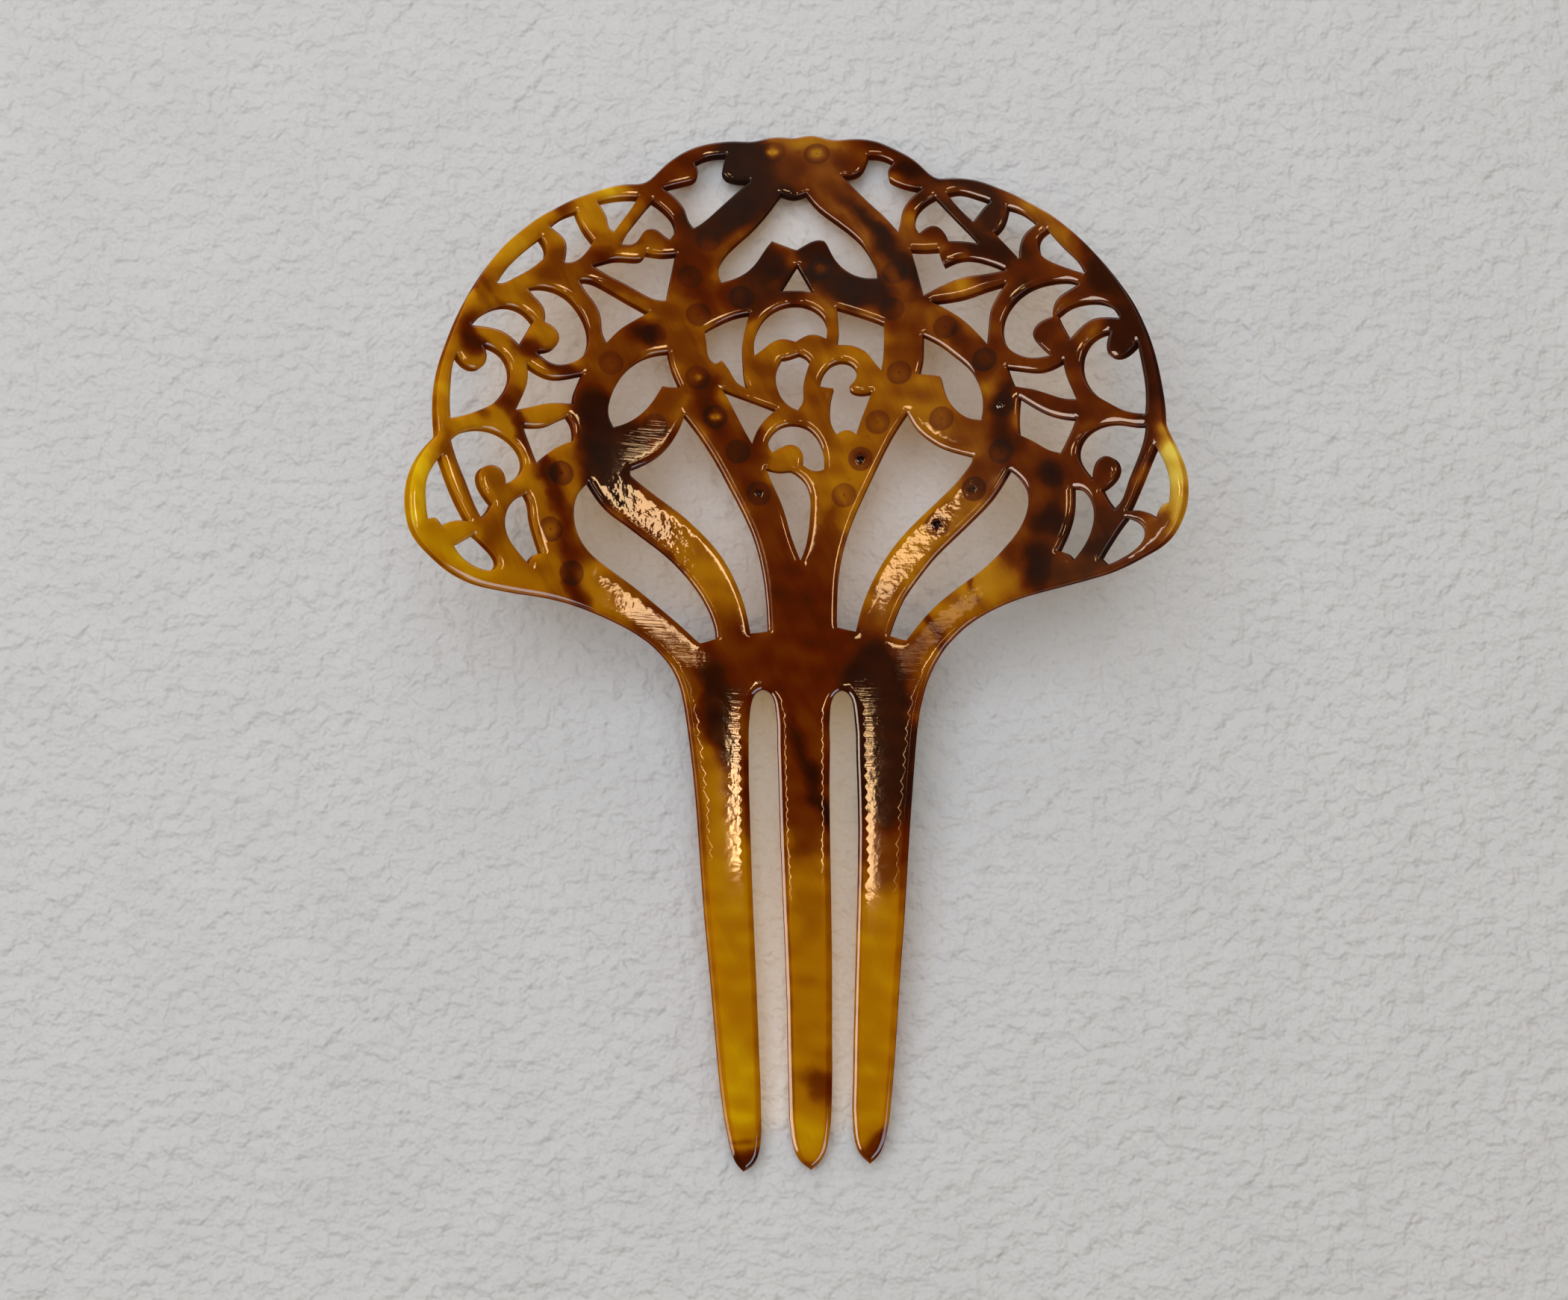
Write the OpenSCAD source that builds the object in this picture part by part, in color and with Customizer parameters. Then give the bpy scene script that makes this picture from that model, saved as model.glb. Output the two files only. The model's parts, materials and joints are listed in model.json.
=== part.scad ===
/* [Sheet] */
// Thickness of the plastic sheet
sheet_t = 2.2; // [1.8:0.1:3]
// Radius of the bend across the comb, on the back face
wide_r = 80; // [70:1:100]
// Radius of the arch along the crest
crest_r = 230; // [200:5:300]
// Radius of the gentle arch along the tines
tine_r = 900; // [700:50:1500]
// Where the tines end and the crest begins, measured along the sheet from the tips
shoulder = 68.5; // [66:0.5:71]

/* [Stones] */
// Width of a stone at its girdle
stone_d = 3.9; // [3:0.1:4]
// Depth of a stone below its girdle
stone_deep = 1.6; // [1.2:0.1:1.7]
// Height of a stone above its girdle
stone_high = 0.5; // [0.3:0.1:0.8]
// Width of the flat table
stone_table = 2.2; // [1.6:0.1:2.6]
// How far the girdle sits below the front face
girdle_in = 0.15; // [0:0.05:0.3]
// Clearance around a stone in its pit
pit_gap = 0.06; // [0.03:0.01:0.1]

/* [Cutting] */
// Straight pieces in each sawn curve between two marked points
steps = 2; // [1:1:4]

/* [Hidden] */
deg = 180 / PI;
tip_v = 1.4;
top_v = 154;
girdle_z = girdle_in - sheet_t;

// The spine runs up the middle of the back face: a gentle arc along the tines, a closer one along the crest
function slope(v) = -(v - shoulder) / (v > shoulder ? crest_r : tine_r) * deg;
function spine(v) =
    let (r = v > shoulder ? crest_r : tine_r, a = (v - shoulder) / r * deg) [r * sin(a), -r * (1 - cos(a))];
function under(v) = spine(v) - sheet_t * [-sin(slope(v)), cos(slope(v))];

// The comb lies face down on its tine tips and on the top edge of its crest
rest_a = under(tip_v);
lean = under(top_v) - rest_a;
tilt = atan2(lean[1], lean[0]);
function laid(p) =
    let (d = p - rest_a) [d[0] * cos(tilt) + d[1] * sin(tilt), d[1] * cos(tilt) - d[0] * sin(tilt)];
axis_z = laid(spine(shoulder - crest_r * tilt / deg))[1] + wide_r;

// A point of the section swept round the axis of the bend, u millimetres across
function swept(s, u) =
    let (r = axis_z - s[1], f = u / wide_r * deg) [r * sin(f), s[0], axis_z - r * cos(f)];

// A point of the flat sheet, u across and v along, on the bent back face and on the front face
function bend(p) = swept(laid(spine(p[1])), p[0]);
function front(p) = swept(laid(under(p[1])), p[0]);

// Half way between the two lobes, and between the tine tips and the top of the crest
mid_x = (front([-56.2, 95.3])[0] + front([55.3, 94.9])[0]) / 2;
mid_y = (bend([0.1, tip_v])[1] + bend([2.7, top_v])[1]) / 2;
function across(c) = c[0] / wide_r * deg;
function along(c) = slope(c[1]) - tilt;

// The same point seen square on from above the middle c of a cut
function seen(p, c) =
    let (q = bend(p) - bend(c), f = across(c), a = along(c))
    [q[0] * cos(f) + q[2] * sin(f), -q[0] * sin(a) * sin(f) + q[1] * cos(a) + q[2] * sin(a) * cos(f)];

// A sawn curve passes through the marked rows [u, v, 1 at a corner], smooth at all the others
function unit(d) = d / norm(d);
function turn(a, b, c) =
    let (l = norm(b - a), m = norm(c - b)) ((b - a) / l * m + (c - b) / m * l) / (l + m);
function spot(row) = [row[0], row[1]];
function span(o, a, b, z, k) =
    let (p = spot(a), q = spot(b), l = norm(q - p),
        s0 = a[2] == 1 ? [0, 0] : turn(spot(o), p, q) * l,
        s1 = b[2] == 1 ? [0, 0] : turn(p, q, spot(z)) * l,
        t0 = a[2] == 1 ? (b[2] == 1 ? q - p : (3 * (q - p) - s1) / 2) : s0,
        t1 = b[2] == 1 ? (a[2] == 1 ? q - p : (3 * (q - p) - s0) / 2) : s1)
    [for (i = [0 : (a[2] == 1 && b[2] == 1 ? 0 : k - 1)])
        let (t = i / k)
        p * (1 + 2 * t) * (1 - t) * (1 - t) + q * t * t * (3 - 2 * t)
            + t0 * t * (1 - t) * (1 - t) - t1 * t * t * (1 - t)];
function loop(rows) =
    let (n = len(rows))
    [for (i = [0 : n - 1])
        each span(rows[(i + n - 1) % n], rows[i], rows[(i + 1) % n], rows[(i + 2) % n], steps)];
function middle(rows) =
    [(min([for (r = rows) r[0]]) + max([for (r = rows) r[0]])) / 2,
     (min([for (r = rows) r[1]]) + max([for (r = rows) r[1]])) / 2];

// Stands what follows square on the back face at c
module square_on(c) {
    translate(bend(c) - [mid_x, mid_y, 0]) rotate([0, -across(c), 0]) rotate([along(c), 0, 0]) children();
}

// A saw cut through the sheet, square to it at its middle
module saw(rows, c, deep) {
    square_on(c)
        linear_extrude(height = 2 * deep, center = true)
        polygon([for (p = loop(rows)) seen(p, c)]);
}

// The sheet's long section, in short straight lengths, swept round the axis of the bend
section_v = [for (i = [0 : 4]) -2 + (shoulder + 2) * i / 4, for (i = [1 : 12]) shoulder + (156 - shoulder) * i / 12];
module bent_sheet() {
    backs = [for (v = section_v) laid(spine(v))];
    fronts = [for (i = [len(section_v) - 1 : -1 : 0]) laid(under(section_v[i]))];
    translate([-mid_x, -mid_y, axis_z]) rotate([-90, 0, 0]) rotate([0, 0, 40])
        rotate_extrude(angle = 100, $fn = 360)
        polygon([for (p = concat(backs, fronts)) [axis_z - p[1], p[0]]]);
}

// Sawn openings of the left half, rows of [u, v, corner] in millimetres on the flat sheet
left_cuts = [
    // window under the crest's left shoulder
    [[-13.1, 149.2, 1], [-11.2, 150.4, 0], [-8.7, 150.8, 1], [-9.1, 149.4, 0], [-9.4, 147.9, 0], [-8.8, 146.8, 0],
     [-7.5, 146.4, 0], [-5.6, 146.3, 1], [-8, 143.8, 0], [-10.2, 141.4, 0], [-12.4, 139.1, 0], [-13.6, 138.2, 1],
     [-14.3, 139.4, 0], [-14.7, 141.3, 0], [-15.7, 142.9, 0], [-17.6, 144.7, 1], [-16, 145.3, 0],
     [-13.3, 146.2, 1], [-12.6, 147.2, 0]],
    // three-sided window under the rim
    [[-26.7, 141.7, 1], [-24.5, 142.5, 0], [-22.7, 142.9, 0], [-20.9, 143, 1], [-22.3, 140.5, 0],
     [-23.5, 138.7, 0], [-24.6, 137, 1], [-25.3, 137.6, 0], [-25.4, 139, 0], [-25.9, 140.4, 0]],
    // window left of the rim's leaf
    [[-29.6, 139.9, 1], [-31.6, 138.8, 0], [-33.5, 136.9, 1], [-32.3, 136, 0], [-31.4, 134.9, 0],
     [-31.4, 133.4, 0], [-31.8, 131.5, 1], [-30.7, 131.6, 0], [-29.2, 132.7, 0], [-27.5, 135.3, 1],
     [-28.4, 136.6, 0], [-29.1, 138.1, 0]],
    // slit along the rim
    [[-34.9, 135.1, 1], [-34.3, 133.9, 0], [-34.3, 132.4, 0], [-35.4, 131.1, 0], [-37.3, 129.5, 0],
     [-39.3, 128.2, 0], [-40.7, 127.3, 0], [-41.7, 127.2, 1], [-40.3, 129.3, 0], [-38.6, 131.4, 0],
     [-36.7, 133.4, 0]],
    // round window with the double curl
    [[-37.3, 126.9, 1], [-35.4, 127.4, 0], [-33.3, 127.2, 0], [-31.5, 126.2, 0], [-30, 124.2, 0],
     [-29.1, 121.9, 0], [-29, 119.5, 0], [-29.7, 117.6, 0], [-31.3, 116.4, 0], [-33.8, 115.8, 0],
     [-35.4, 116.4, 0], [-36.6, 117.5, 1], [-35.5, 117.7, 0], [-34.2, 118.1, 0], [-33.3, 119.2, 0],
     [-33.2, 120.4, 0], [-34, 121.5, 0], [-35.2, 122.1, 1], [-35, 123.4, 0], [-35.5, 124.8, 0],
     [-36.4, 125.7, 0]],
    // crescent beside it
    [[-45.8, 120.4, 1], [-44.3, 122, 0], [-42.3, 123.4, 0], [-40.2, 124, 0], [-38.3, 123.6, 0],
     [-36.7, 122, 1], [-37.6, 120.5, 0], [-38.3, 119.3, 0], [-39, 118.2, 1], [-40.1, 119.3, 0],
     [-41.5, 120.1, 0], [-43.6, 120.4, 0]],
    // upper hole of the side, with a hanging curl
    [[-44.3, 117.7, 1], [-42.9, 117.5, 0], [-41.4, 116.6, 0], [-40.6, 115, 0], [-40.6, 113, 0],
     [-41.4, 111.3, 0], [-43, 109.5, 0], [-45.3, 108.2, 0], [-47.7, 107.2, 0], [-49.7, 106.6, 1],
     [-49.7, 109, 0], [-49.4, 111.8, 0], [-49, 114.2, 0], [-48.3, 116, 1], [-47.4, 114.7, 0],
     [-46, 114, 0], [-44.6, 114.4, 0], [-43.9, 115.6, 0], [-43.9, 116.8, 0]],
    // lower hole of the side, with a ball
    [[-49.8, 103.5, 1], [-48, 104.8, 0], [-45.7, 105.5, 0], [-43.2, 105.4, 0], [-41.1, 104.4, 0],
     [-39.6, 102.8, 0], [-39.1, 100.8, 0], [-39.8, 99.3, 0], [-41.8, 98.1, 1], [-41.9, 99.2, 0],
     [-42.5, 100.2, 0], [-43.8, 100.6, 0], [-45.2, 100.1, 0], [-45.8, 98.8, 0], [-45.3, 97, 0],
     [-43.8, 95.1, 1], [-44.4, 94, 0], [-45.5, 93, 1], [-46.5, 94.8, 0], [-47.7, 97.8, 0],
     [-48.9, 100.6, 0]],
    // upper opening of the lobe
    [[-51.3, 101.2, 1], [-52.6, 99.6, 0], [-53.6, 97.6, 0], [-53.8, 95.2, 0], [-53.5, 92.3, 1],
     [-52.3, 92.6, 0], [-51.4, 91.5, 1], [-49.6, 92.4, 0], [-47.4, 92.4, 1], [-48.8, 94.8, 0],
     [-50, 97.5, 0], [-50.8, 99.7, 0]],
    // lower opening of the lobe
    [[-46.6, 90.7, 1], [-48.1, 89.7, 0], [-49.6, 88.9, 1], [-48.8, 87.8, 0], [-47.3, 86.7, 0],
     [-45.5, 86, 0], [-43.9, 85.8, 1], [-43.1, 86.5, 0], [-43.2, 87.4, 0], [-44.5, 88.9, 0]],
    // crescent beside the S-stem
    [[-38.9, 96.8, 1], [-38.3, 95.5, 0], [-38.2, 93.8, 0], [-37.7, 91.6, 0], [-36.7, 88.6, 1],
     [-37.5, 88.5, 0], [-38.2, 87.9, 0], [-38.6, 87, 1], [-40, 88.5, 0], [-41.3, 90.1, 0],
     [-42, 91.9, 0], [-41.9, 93.8, 0], [-40.8, 95.7, 0]],
    // window above the small leaf
    [[-38.1, 115.6, 1], [-36.4, 114.5, 0], [-34.4, 113.8, 0], [-32.2, 114.1, 0], [-30.1, 114.7, 1],
     [-30.8, 113.1, 0], [-31.4, 111.6, 0], [-31.5, 110.2, 1], [-33.4, 110.2, 0], [-35.6, 110, 0],
     [-37.8, 109.3, 0], [-40, 108.7, 1], [-39.1, 110.5, 0], [-38.3, 112.3, 0], [-38, 114, 0]],
    // window below the small leaf
    [[-39.1, 106.5, 1], [-37.3, 106.5, 0], [-35.5, 106.8, 0], [-34, 107.6, 0], [-32.5, 108.4, 1],
     [-31.8, 107.2, 0], [-31.7, 104.8, 1], [-33.6, 104.1, 0], [-35.6, 102.8, 0], [-37.2, 101.2, 1],
     [-38, 103.4, 0]],
    // window with the round bump
    [[-19, 142.6, 1], [-17.5, 141.2, 0], [-16.4, 139.6, 0], [-16.1, 137.8, 0], [-17, 136.2, 1],
     [-17.8, 136.9, 0], [-18.7, 137.8, 0], [-19.8, 137.9, 0], [-20.7, 137.1, 0], [-21.4, 135.7, 0],
     [-22.2, 135.1, 0], [-23.6, 135.1, 1], [-22.7, 137.2, 0], [-21.5, 139, 0], [-20.3, 140.8, 0]],
    // broad window below it
    [[-28, 131.4, 1], [-26.4, 132.1, 0], [-24.4, 132.8, 0], [-22.4, 132.8, 0], [-20.9, 132.9, 0],
     [-20.3, 134, 1], [-18.2, 133.7, 0], [-16.2, 134, 1], [-16.8, 131.3, 0], [-17.3, 129, 0],
     [-17.8, 126.5, 1], [-19.4, 126.6, 0], [-21.4, 127.6, 0], [-23.4, 128.8, 0], [-25.6, 129.9, 0]],
    // curved three-sided window
    [[-29.9, 128.9, 1], [-28.4, 129.1, 0], [-26.2, 128.1, 0], [-23.4, 126.4, 0], [-20.3, 124.6, 1],
     [-22.2, 123.4, 0], [-24.4, 121.9, 0], [-26.5, 119.6, 1], [-27.1, 121.2, 0], [-27.1, 123.4, 0],
     [-27.9, 125.6, 0], [-29.2, 127.4, 0]],
    // leaf window beside the ribbon
    [[-17.8, 118.7, 1], [-17.4, 116.3, 0], [-16.3, 113.4, 1], [-17.6, 113.3, 0], [-18.9, 113.5, 1],
     [-20.1, 111.4, 0], [-21.9, 109.3, 0], [-23.9, 107.9, 0], [-26, 107.1, 1], [-26.7, 109, 0],
     [-26.2, 111.6, 0], [-25, 114, 0], [-23.3, 116.2, 0], [-20.9, 117.9, 0]],
    // long opening between ribbon and petal
    [[-15.8, 109.3, 1], [-13.6, 106.2, 0], [-11.7, 103, 0], [-9.7, 99, 0], [-8, 95.5, 0],
     [-6.6, 92.2, 0], [-5.6, 88.6, 0], [-5, 85, 0], [-4.6, 78.1, 1], [-7.1, 77.8, 1],
     [-7.8, 81.5, 0], [-9.2, 85.4, 0], [-11.1, 88.9, 0], [-13.6, 91.9, 0], [-16.6, 94.7, 0],
     [-20.1, 97.3, 0], [-23.8, 100.2, 1], [-23.8, 101, 1], [-21.5, 102, 0], [-19.4, 103.4, 0],
     [-17.6, 105.4, 0], [-16.5, 107.4, 0]],
    // long opening below the petal
    [[-29.7, 99, 1], [-28.5, 97, 0], [-26.9, 95.1, 0], [-24.4, 93.3, 0], [-21.5, 91.1, 0],
     [-18.9, 89.1, 0], [-16.6, 86.8, 0], [-14.4, 84, 0], [-12.9, 81.3, 0], [-12, 78.8, 0],
     [-11.8, 77.1, 1], [-12.9, 76.8, 0], [-14.2, 76.4, 1], [-17.2, 79.2, 0], [-20.7, 82.1, 0],
     [-24.1, 84.8, 0], [-27.6, 87.2, 0], [-29.9, 89.1, 0], [-31.5, 91.6, 0], [-32, 94.2, 0],
     [-31.5, 97, 0]],
];

// Sawn openings of the right half
right_cuts = [
    [[10.1, 150.2, 1], [11.8, 149.9, 0], [13.6, 148.6, 1], [12.9, 147.6, 0], [12.9, 145.9, 1],
     [14.8, 144.7, 0], [17.5, 143.8, 1], [16, 142.4, 0], [14.9, 140.6, 0], [14.6, 138.6, 0],
     [14.3, 137, 1], [12.6, 139.4, 0], [10.3, 142.1, 0], [8.4, 144.5, 0], [6.6, 146.9, 1],
     [8.2, 146.9, 0], [9.3, 147.7, 0], [9.8, 149, 0]],
    [[20.8, 142.7, 1], [22.3, 142.9, 0], [24.4, 142, 0], [26.9, 140.6, 1], [25.9, 139.6, 0],
     [25.1, 138.4, 0], [24.6, 137.6, 1], [22.7, 139.9, 0]],
    [[29.2, 139.4, 1], [31.3, 138.2, 0], [33.4, 135.9, 1], [32.1, 135.1, 0], [31.3, 133.7, 0],
     [31.1, 130.9, 1], [29.8, 132.6, 0], [27.5, 135.5, 1], [28.5, 136.5, 0], [29, 138, 0]],
    [[34.9, 135, 1], [33.8, 134.1, 0], [33.6, 132.5, 0], [34.1, 131.1, 0], [35.8, 129.7, 0],
     [37.9, 128.5, 0], [40.5, 127.2, 1], [39.3, 129.4, 0], [37.6, 131.4, 0], [36, 133.4, 0]],
    [[39.7, 125.8, 1], [38, 126.6, 0], [35.6, 126.8, 0], [33, 126.4, 0], [30.9, 125.1, 0],
     [29.4, 123.1, 0], [28.8, 120.8, 0], [29.2, 118.4, 0], [30.5, 116.8, 0], [32.8, 115.7, 0],
     [35.8, 115.7, 1], [34.6, 116.9, 0], [33.6, 118.1, 0], [33.2, 119.4, 0], [34, 120.7, 0],
     [36.1, 121.4, 1], [36.1, 122.8, 0], [36.8, 124.2, 0], [38.2, 125, 0]],
    [[36.6, 121.6, 1], [38.3, 122.7, 0], [40.6, 123, 0], [42.8, 122.6, 0], [44.6, 121.5, 0],
     [45.7, 119.8, 1], [43.8, 120.2, 0], [41.9, 120.3, 0], [40.4, 119.5, 0], [38.6, 117.7, 1],
     [37.9, 118.9, 0], [37.2, 120.3, 0]],
    [[44.4, 118, 1], [42.9, 117.9, 0], [41.3, 117, 0], [40.4, 115.4, 0], [40.2, 113.3, 0],
     [40.8, 111.2, 0], [42.2, 109.3, 0], [44.3, 107.8, 0], [46.7, 106.3, 0], [49.7, 105.5, 1],
     [49.8, 107.4, 0], [49.6, 110, 0], [49.1, 112.6, 0], [48.4, 116, 1], [47.2, 114.8, 0],
     [45.7, 114.1, 0], [44.3, 114.5, 0], [43.9, 115.9, 0]],
    [[49.8, 103.8, 1], [47.9, 104, 0], [45.5, 104.7, 0], [43, 104.7, 0], [41.1, 103.9, 0],
     [39.9, 102.4, 0], [39.7, 100.5, 0], [40.5, 98.9, 0], [41.9, 97.1, 1], [42, 98.6, 0],
     [42.7, 100, 0], [43.9, 100.4, 0], [45.1, 99.7, 0], [45.6, 98.3, 0], [44.9, 96.8, 0],
     [43.1, 95.6, 1], [43.8, 94.2, 0], [44.9, 92.7, 1], [46.1, 93.8, 0], [47.1, 96.3, 0],
     [48.4, 99.1, 0], [49.4, 101.6, 0]],
    [[51.1, 100.9, 1], [52.2, 99, 0], [52.9, 97.3, 0], [53.3, 95.2, 0], [53.1, 92.8, 1],
     [52.2, 92.7, 0], [51.5, 91.9, 0], [51.1, 90.8, 1], [50.2, 91.5, 0], [49.2, 92.1, 0],
     [46.9, 92.3, 1], [48.2, 94.8, 0], [49.3, 97.1, 0], [50.3, 99.3, 0]],
    [[46.6, 91.4, 1], [48, 90.8, 0], [49.2, 89.8, 0], [49.4, 88.6, 0], [48.4, 87.3, 0],
     [46.5, 86.2, 0], [43.6, 85.1, 1], [42.6, 86.2, 1], [43.8, 87.9, 0], [45.3, 89.9, 0]],
    [[38.9, 96.3, 1], [40.3, 95.9, 0], [41.4, 94.7, 0], [42, 92.7, 0], [41.6, 90.2, 0],
     [40.4, 88, 0], [38.7, 86.1, 1], [38, 87.2, 0], [36.6, 87.7, 1], [37.7, 89.7, 0],
     [38.6, 92.2, 0], [38.9, 94.5, 0]],
    [[29.6, 114.6, 1], [31.7, 114.1, 0], [34.3, 113.6, 0], [36.3, 114.1, 0], [37.7, 114.8, 1],
     [38, 112.8, 0], [38.7, 111, 0], [39.6, 108.9, 1], [38, 109.1, 0], [35.8, 110, 0],
     [33.4, 111, 0], [30.7, 111.7, 1], [30.1, 113.1, 0]],
    [[31.3, 110, 1], [33, 108.7, 0], [35.2, 107.3, 0], [37.6, 106.4, 0], [39.6, 106, 1],
     [38.7, 104, 0], [37.3, 101.4, 1], [35.6, 102, 0], [33.4, 103.5, 0], [31.2, 104.7, 1],
     [31.1, 107.4, 0]],
    [[19.2, 142.4, 1], [17.6, 141.3, 0], [16.6, 139.8, 0], [16.5, 137.9, 0], [17.2, 136.5, 1],
     [18, 137.3, 0], [19.1, 137.7, 0], [20.2, 137, 0], [21.2, 134.9, 1], [23.4, 134.6, 0],
     [25.4, 134, 1], [23.9, 136.1, 0], [22.2, 138.3, 0], [20.7, 140.3, 0]],
    [[16, 134.1, 1], [17.9, 133.8, 0], [19.9, 133.8, 1], [20.1, 132.5, 0], [20.6, 131.1, 1],
     [21.9, 131.8, 0], [23.7, 132, 0], [26.4, 131.1, 0], [29.3, 129.4, 1], [26.6, 129.1, 0],
     [23.8, 129, 0], [21.4, 128.4, 0], [17.8, 126.6, 1], [17.2, 129.2, 0], [16.6, 131.9, 0]],
    [[18.9, 125.6, 1], [21.2, 125.7, 0], [23.7, 126, 0], [26.3, 126.8, 0], [29.4, 127.4, 1],
     [28.1, 125.4, 0], [27.2, 123.3, 0], [27, 121, 0], [26.8, 118.4, 1], [25.4, 120.2, 0],
     [23.6, 122.2, 0], [21.5, 123.9, 0]],
    [[17.7, 120.6, 1], [19.9, 119.2, 0], [22.1, 117.2, 0], [24, 115.3, 0], [25.4, 113, 0],
     [26.2, 110.4, 0], [26, 107.2, 1], [24, 107.7, 0], [22.2, 109.2, 0], [20.9, 111.3, 0],
     [20.2, 114.2, 1], [18.6, 114.5, 0], [17.1, 114.7, 1], [17.6, 116.7, 0], [17.7, 118.8, 0]],
    [[15.4, 109.1, 1], [16.4, 107, 0], [18, 105.3, 0], [20.1, 103.8, 0], [22.5, 102.8, 0],
     [24.7, 102.1, 1], [24.7, 101.3, 1], [22.6, 98.7, 0], [19.6, 95.9, 0], [16.8, 93.4, 0],
     [14.2, 90.8, 0], [11.9, 87.8, 0], [10.1, 84.7, 0], [8.7, 81.5, 0], [7.7, 77.8, 1],
     [5, 78.5, 1], [5.1, 82, 0], [5.4, 86, 0], [6.1, 89.5, 0], [7.4, 93.5, 0], [9.1, 97.3, 0],
     [11.1, 101.5, 0], [13.1, 105.5, 0]],
    [[29.8, 99.7, 1], [31.4, 98.2, 0], [32.5, 96.2, 0], [32.4, 93.8, 0], [31.2, 91.2, 0],
     [29.2, 88.9, 0], [26.4, 86.3, 0], [23, 84, 0], [19.6, 81.6, 0], [17, 79.1, 0],
     [14.7, 76.3, 1], [12.3, 77.1, 1], [13.1, 79.3, 0], [14.4, 82.2, 0], [16.5, 85.1, 0],
     [19, 88.1, 0], [21.7, 90.6, 0], [24.7, 93.3, 0], [27.3, 95.9, 0], [28.9, 98.2, 0]],
];

// Openings of the middle, from the top window down to the drop above the tines
middle_cuts = [
    [[-1.6, 144.3, 1], [0.1, 143.6, 0], [1.8, 144.2, 1], [3.2, 141.9, 0], [5.2, 139.9, 0],
     [7.3, 137.9, 0], [9.2, 135.7, 0], [10.5, 133.3, 0], [11.3, 131.2, 0], [11.4, 129.8, 1],
     [9.4, 130, 0], [7.4, 131, 0], [5.7, 132.9, 0], [4.8, 134.9, 0], [4.2, 136.2, 0], [3, 136.3, 0],
     [1.6, 135.6, 0], [0.4, 134.7, 1], [-0.9, 135.3, 0], [-3, 136.3, 1], [-4, 134.8, 0],
     [-5.1, 132.9, 0], [-6.6, 131.2, 0], [-8.3, 130.2, 0], [-10.1, 129.6, 1], [-10.5, 131.2, 0],
     [-9.9, 133.3, 0], [-8.4, 135.4, 0], [-6, 137.9, 0], [-3.8, 140.7, 0]],
    [[0.4, 132.5, 1], [2.6, 127.9, 1], [0.6, 128.3, 0], [-2, 128.2, 1]],
    [[-5.8, 118.3, 1], [-4.6, 119.2, 0], [-3.4, 120.3, 0], [-1.9, 120.9, 0], [0, 120.3, 1],
     [1.1, 121.1, 0], [2.2, 121.5, 0], [4.3, 120.7, 1], [4.4, 122.3, 0], [3.9, 124.1, 0],
     [2.4, 125.6, 0], [0.3, 126.3, 0], [-2, 125.9, 0], [-4, 124.5, 0], [-5.3, 122.3, 0],
     [-5.8, 120.3, 0]],
    [[-12.7, 122, 1], [-10.6, 123.3, 0], [-8.4, 124.4, 0], [-6.3, 124.9, 1], [-6.9, 122.7, 0],
     [-7.4, 120.3, 0], [-7.4, 117.2, 0], [-7.3, 115, 0], [-6.9, 113.3, 1], [-8.4, 114.2, 0],
     [-9.3, 116, 0], [-10.4, 117.6, 1], [-11.3, 117, 0], [-12.2, 117.8, 0], [-12.4, 119.8, 0]],
    [[5.8, 125.5, 1], [8.6, 124.4, 0], [12.3, 122.7, 1], [12.3, 120, 0], [12.2, 117.6, 0],
     [11.9, 115.6, 1], [11.1, 116.6, 0], [9.9, 118.4, 0], [8.1, 119.5, 0], [5.7, 119.7, 1],
     [6, 121.7, 0], [5.9, 123.5, 0]],
    [[0.1, 110, 1], [-1.4, 110.9, 0], [-2.5, 112.6, 0], [-2.9, 114.6, 0], [-2.6, 116.6, 0],
     [-2, 117.9, 1], [-0.8, 118, 0], [0.5, 118.6, 0], [2, 117.3, 1], [1.3, 115.3, 0],
     [0.9, 113.2, 0], [0.9, 111.2, 0]],
    [[3.2, 113.5, 1], [3.6, 115.2, 0], [4.8, 116.8, 0], [6.4, 117.3, 0], [7.9, 116.6, 0],
     [8.5, 115.3, 0], [8.2, 114.1, 0], [7.4, 113.5, 0], [7.4, 112.8, 0], [8.7, 112.2, 0],
     [10.5, 112.4, 1], [9.8, 110.4, 0], [9, 108.4, 0], [8.3, 106.2, 1], [7, 107, 0],
     [5.5, 106.3, 1], [4.8, 107.6, 0], [4.6, 109.8, 0], [4.8, 111.8, 0], [5.2, 113.2, 1],
     [4.3, 113.3, 0]],
    [[-10.4, 113.2, 1], [-8.2, 112.3, 0], [-5.7, 111.3, 0], [-2.9, 110.1, 1], [-4.4, 108.8, 0],
     [-5.6, 107.2, 0], [-6.4, 105.1, 1], [-7.6, 107.4, 0], [-9, 110.4, 0]],
    [[-3.6, 103.8, 1], [-4.2, 104.8, 0], [-3.7, 106.4, 0], [-2.3, 107.7, 0], [-0.3, 108, 0],
     [1.6, 107.3, 0], [2.9, 105.7, 0], [3.6, 103.6, 0], [3.7, 101.2, 1], [2.6, 100.9, 0],
     [0.6, 101.9, 1], [0.8, 103.3, 0], [0.1, 104.6, 0], [-1.3, 105, 0], [-2.7, 104.3, 0]],
    [[-4.5, 101.5, 1], [-3.9, 99.8, 0], [-2.8, 97.3, 0], [-1.9, 94.7, 0], [-1.2, 91.8, 0],
     [0.1, 88.1, 1], [0.8, 89.8, 0], [1.3, 92.2, 0], [1.6, 95, 0], [1.6, 97.6, 0],
     [0.8, 99.7, 0], [-1, 101.2, 1], [-2.7, 101, 0]],
];

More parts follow.
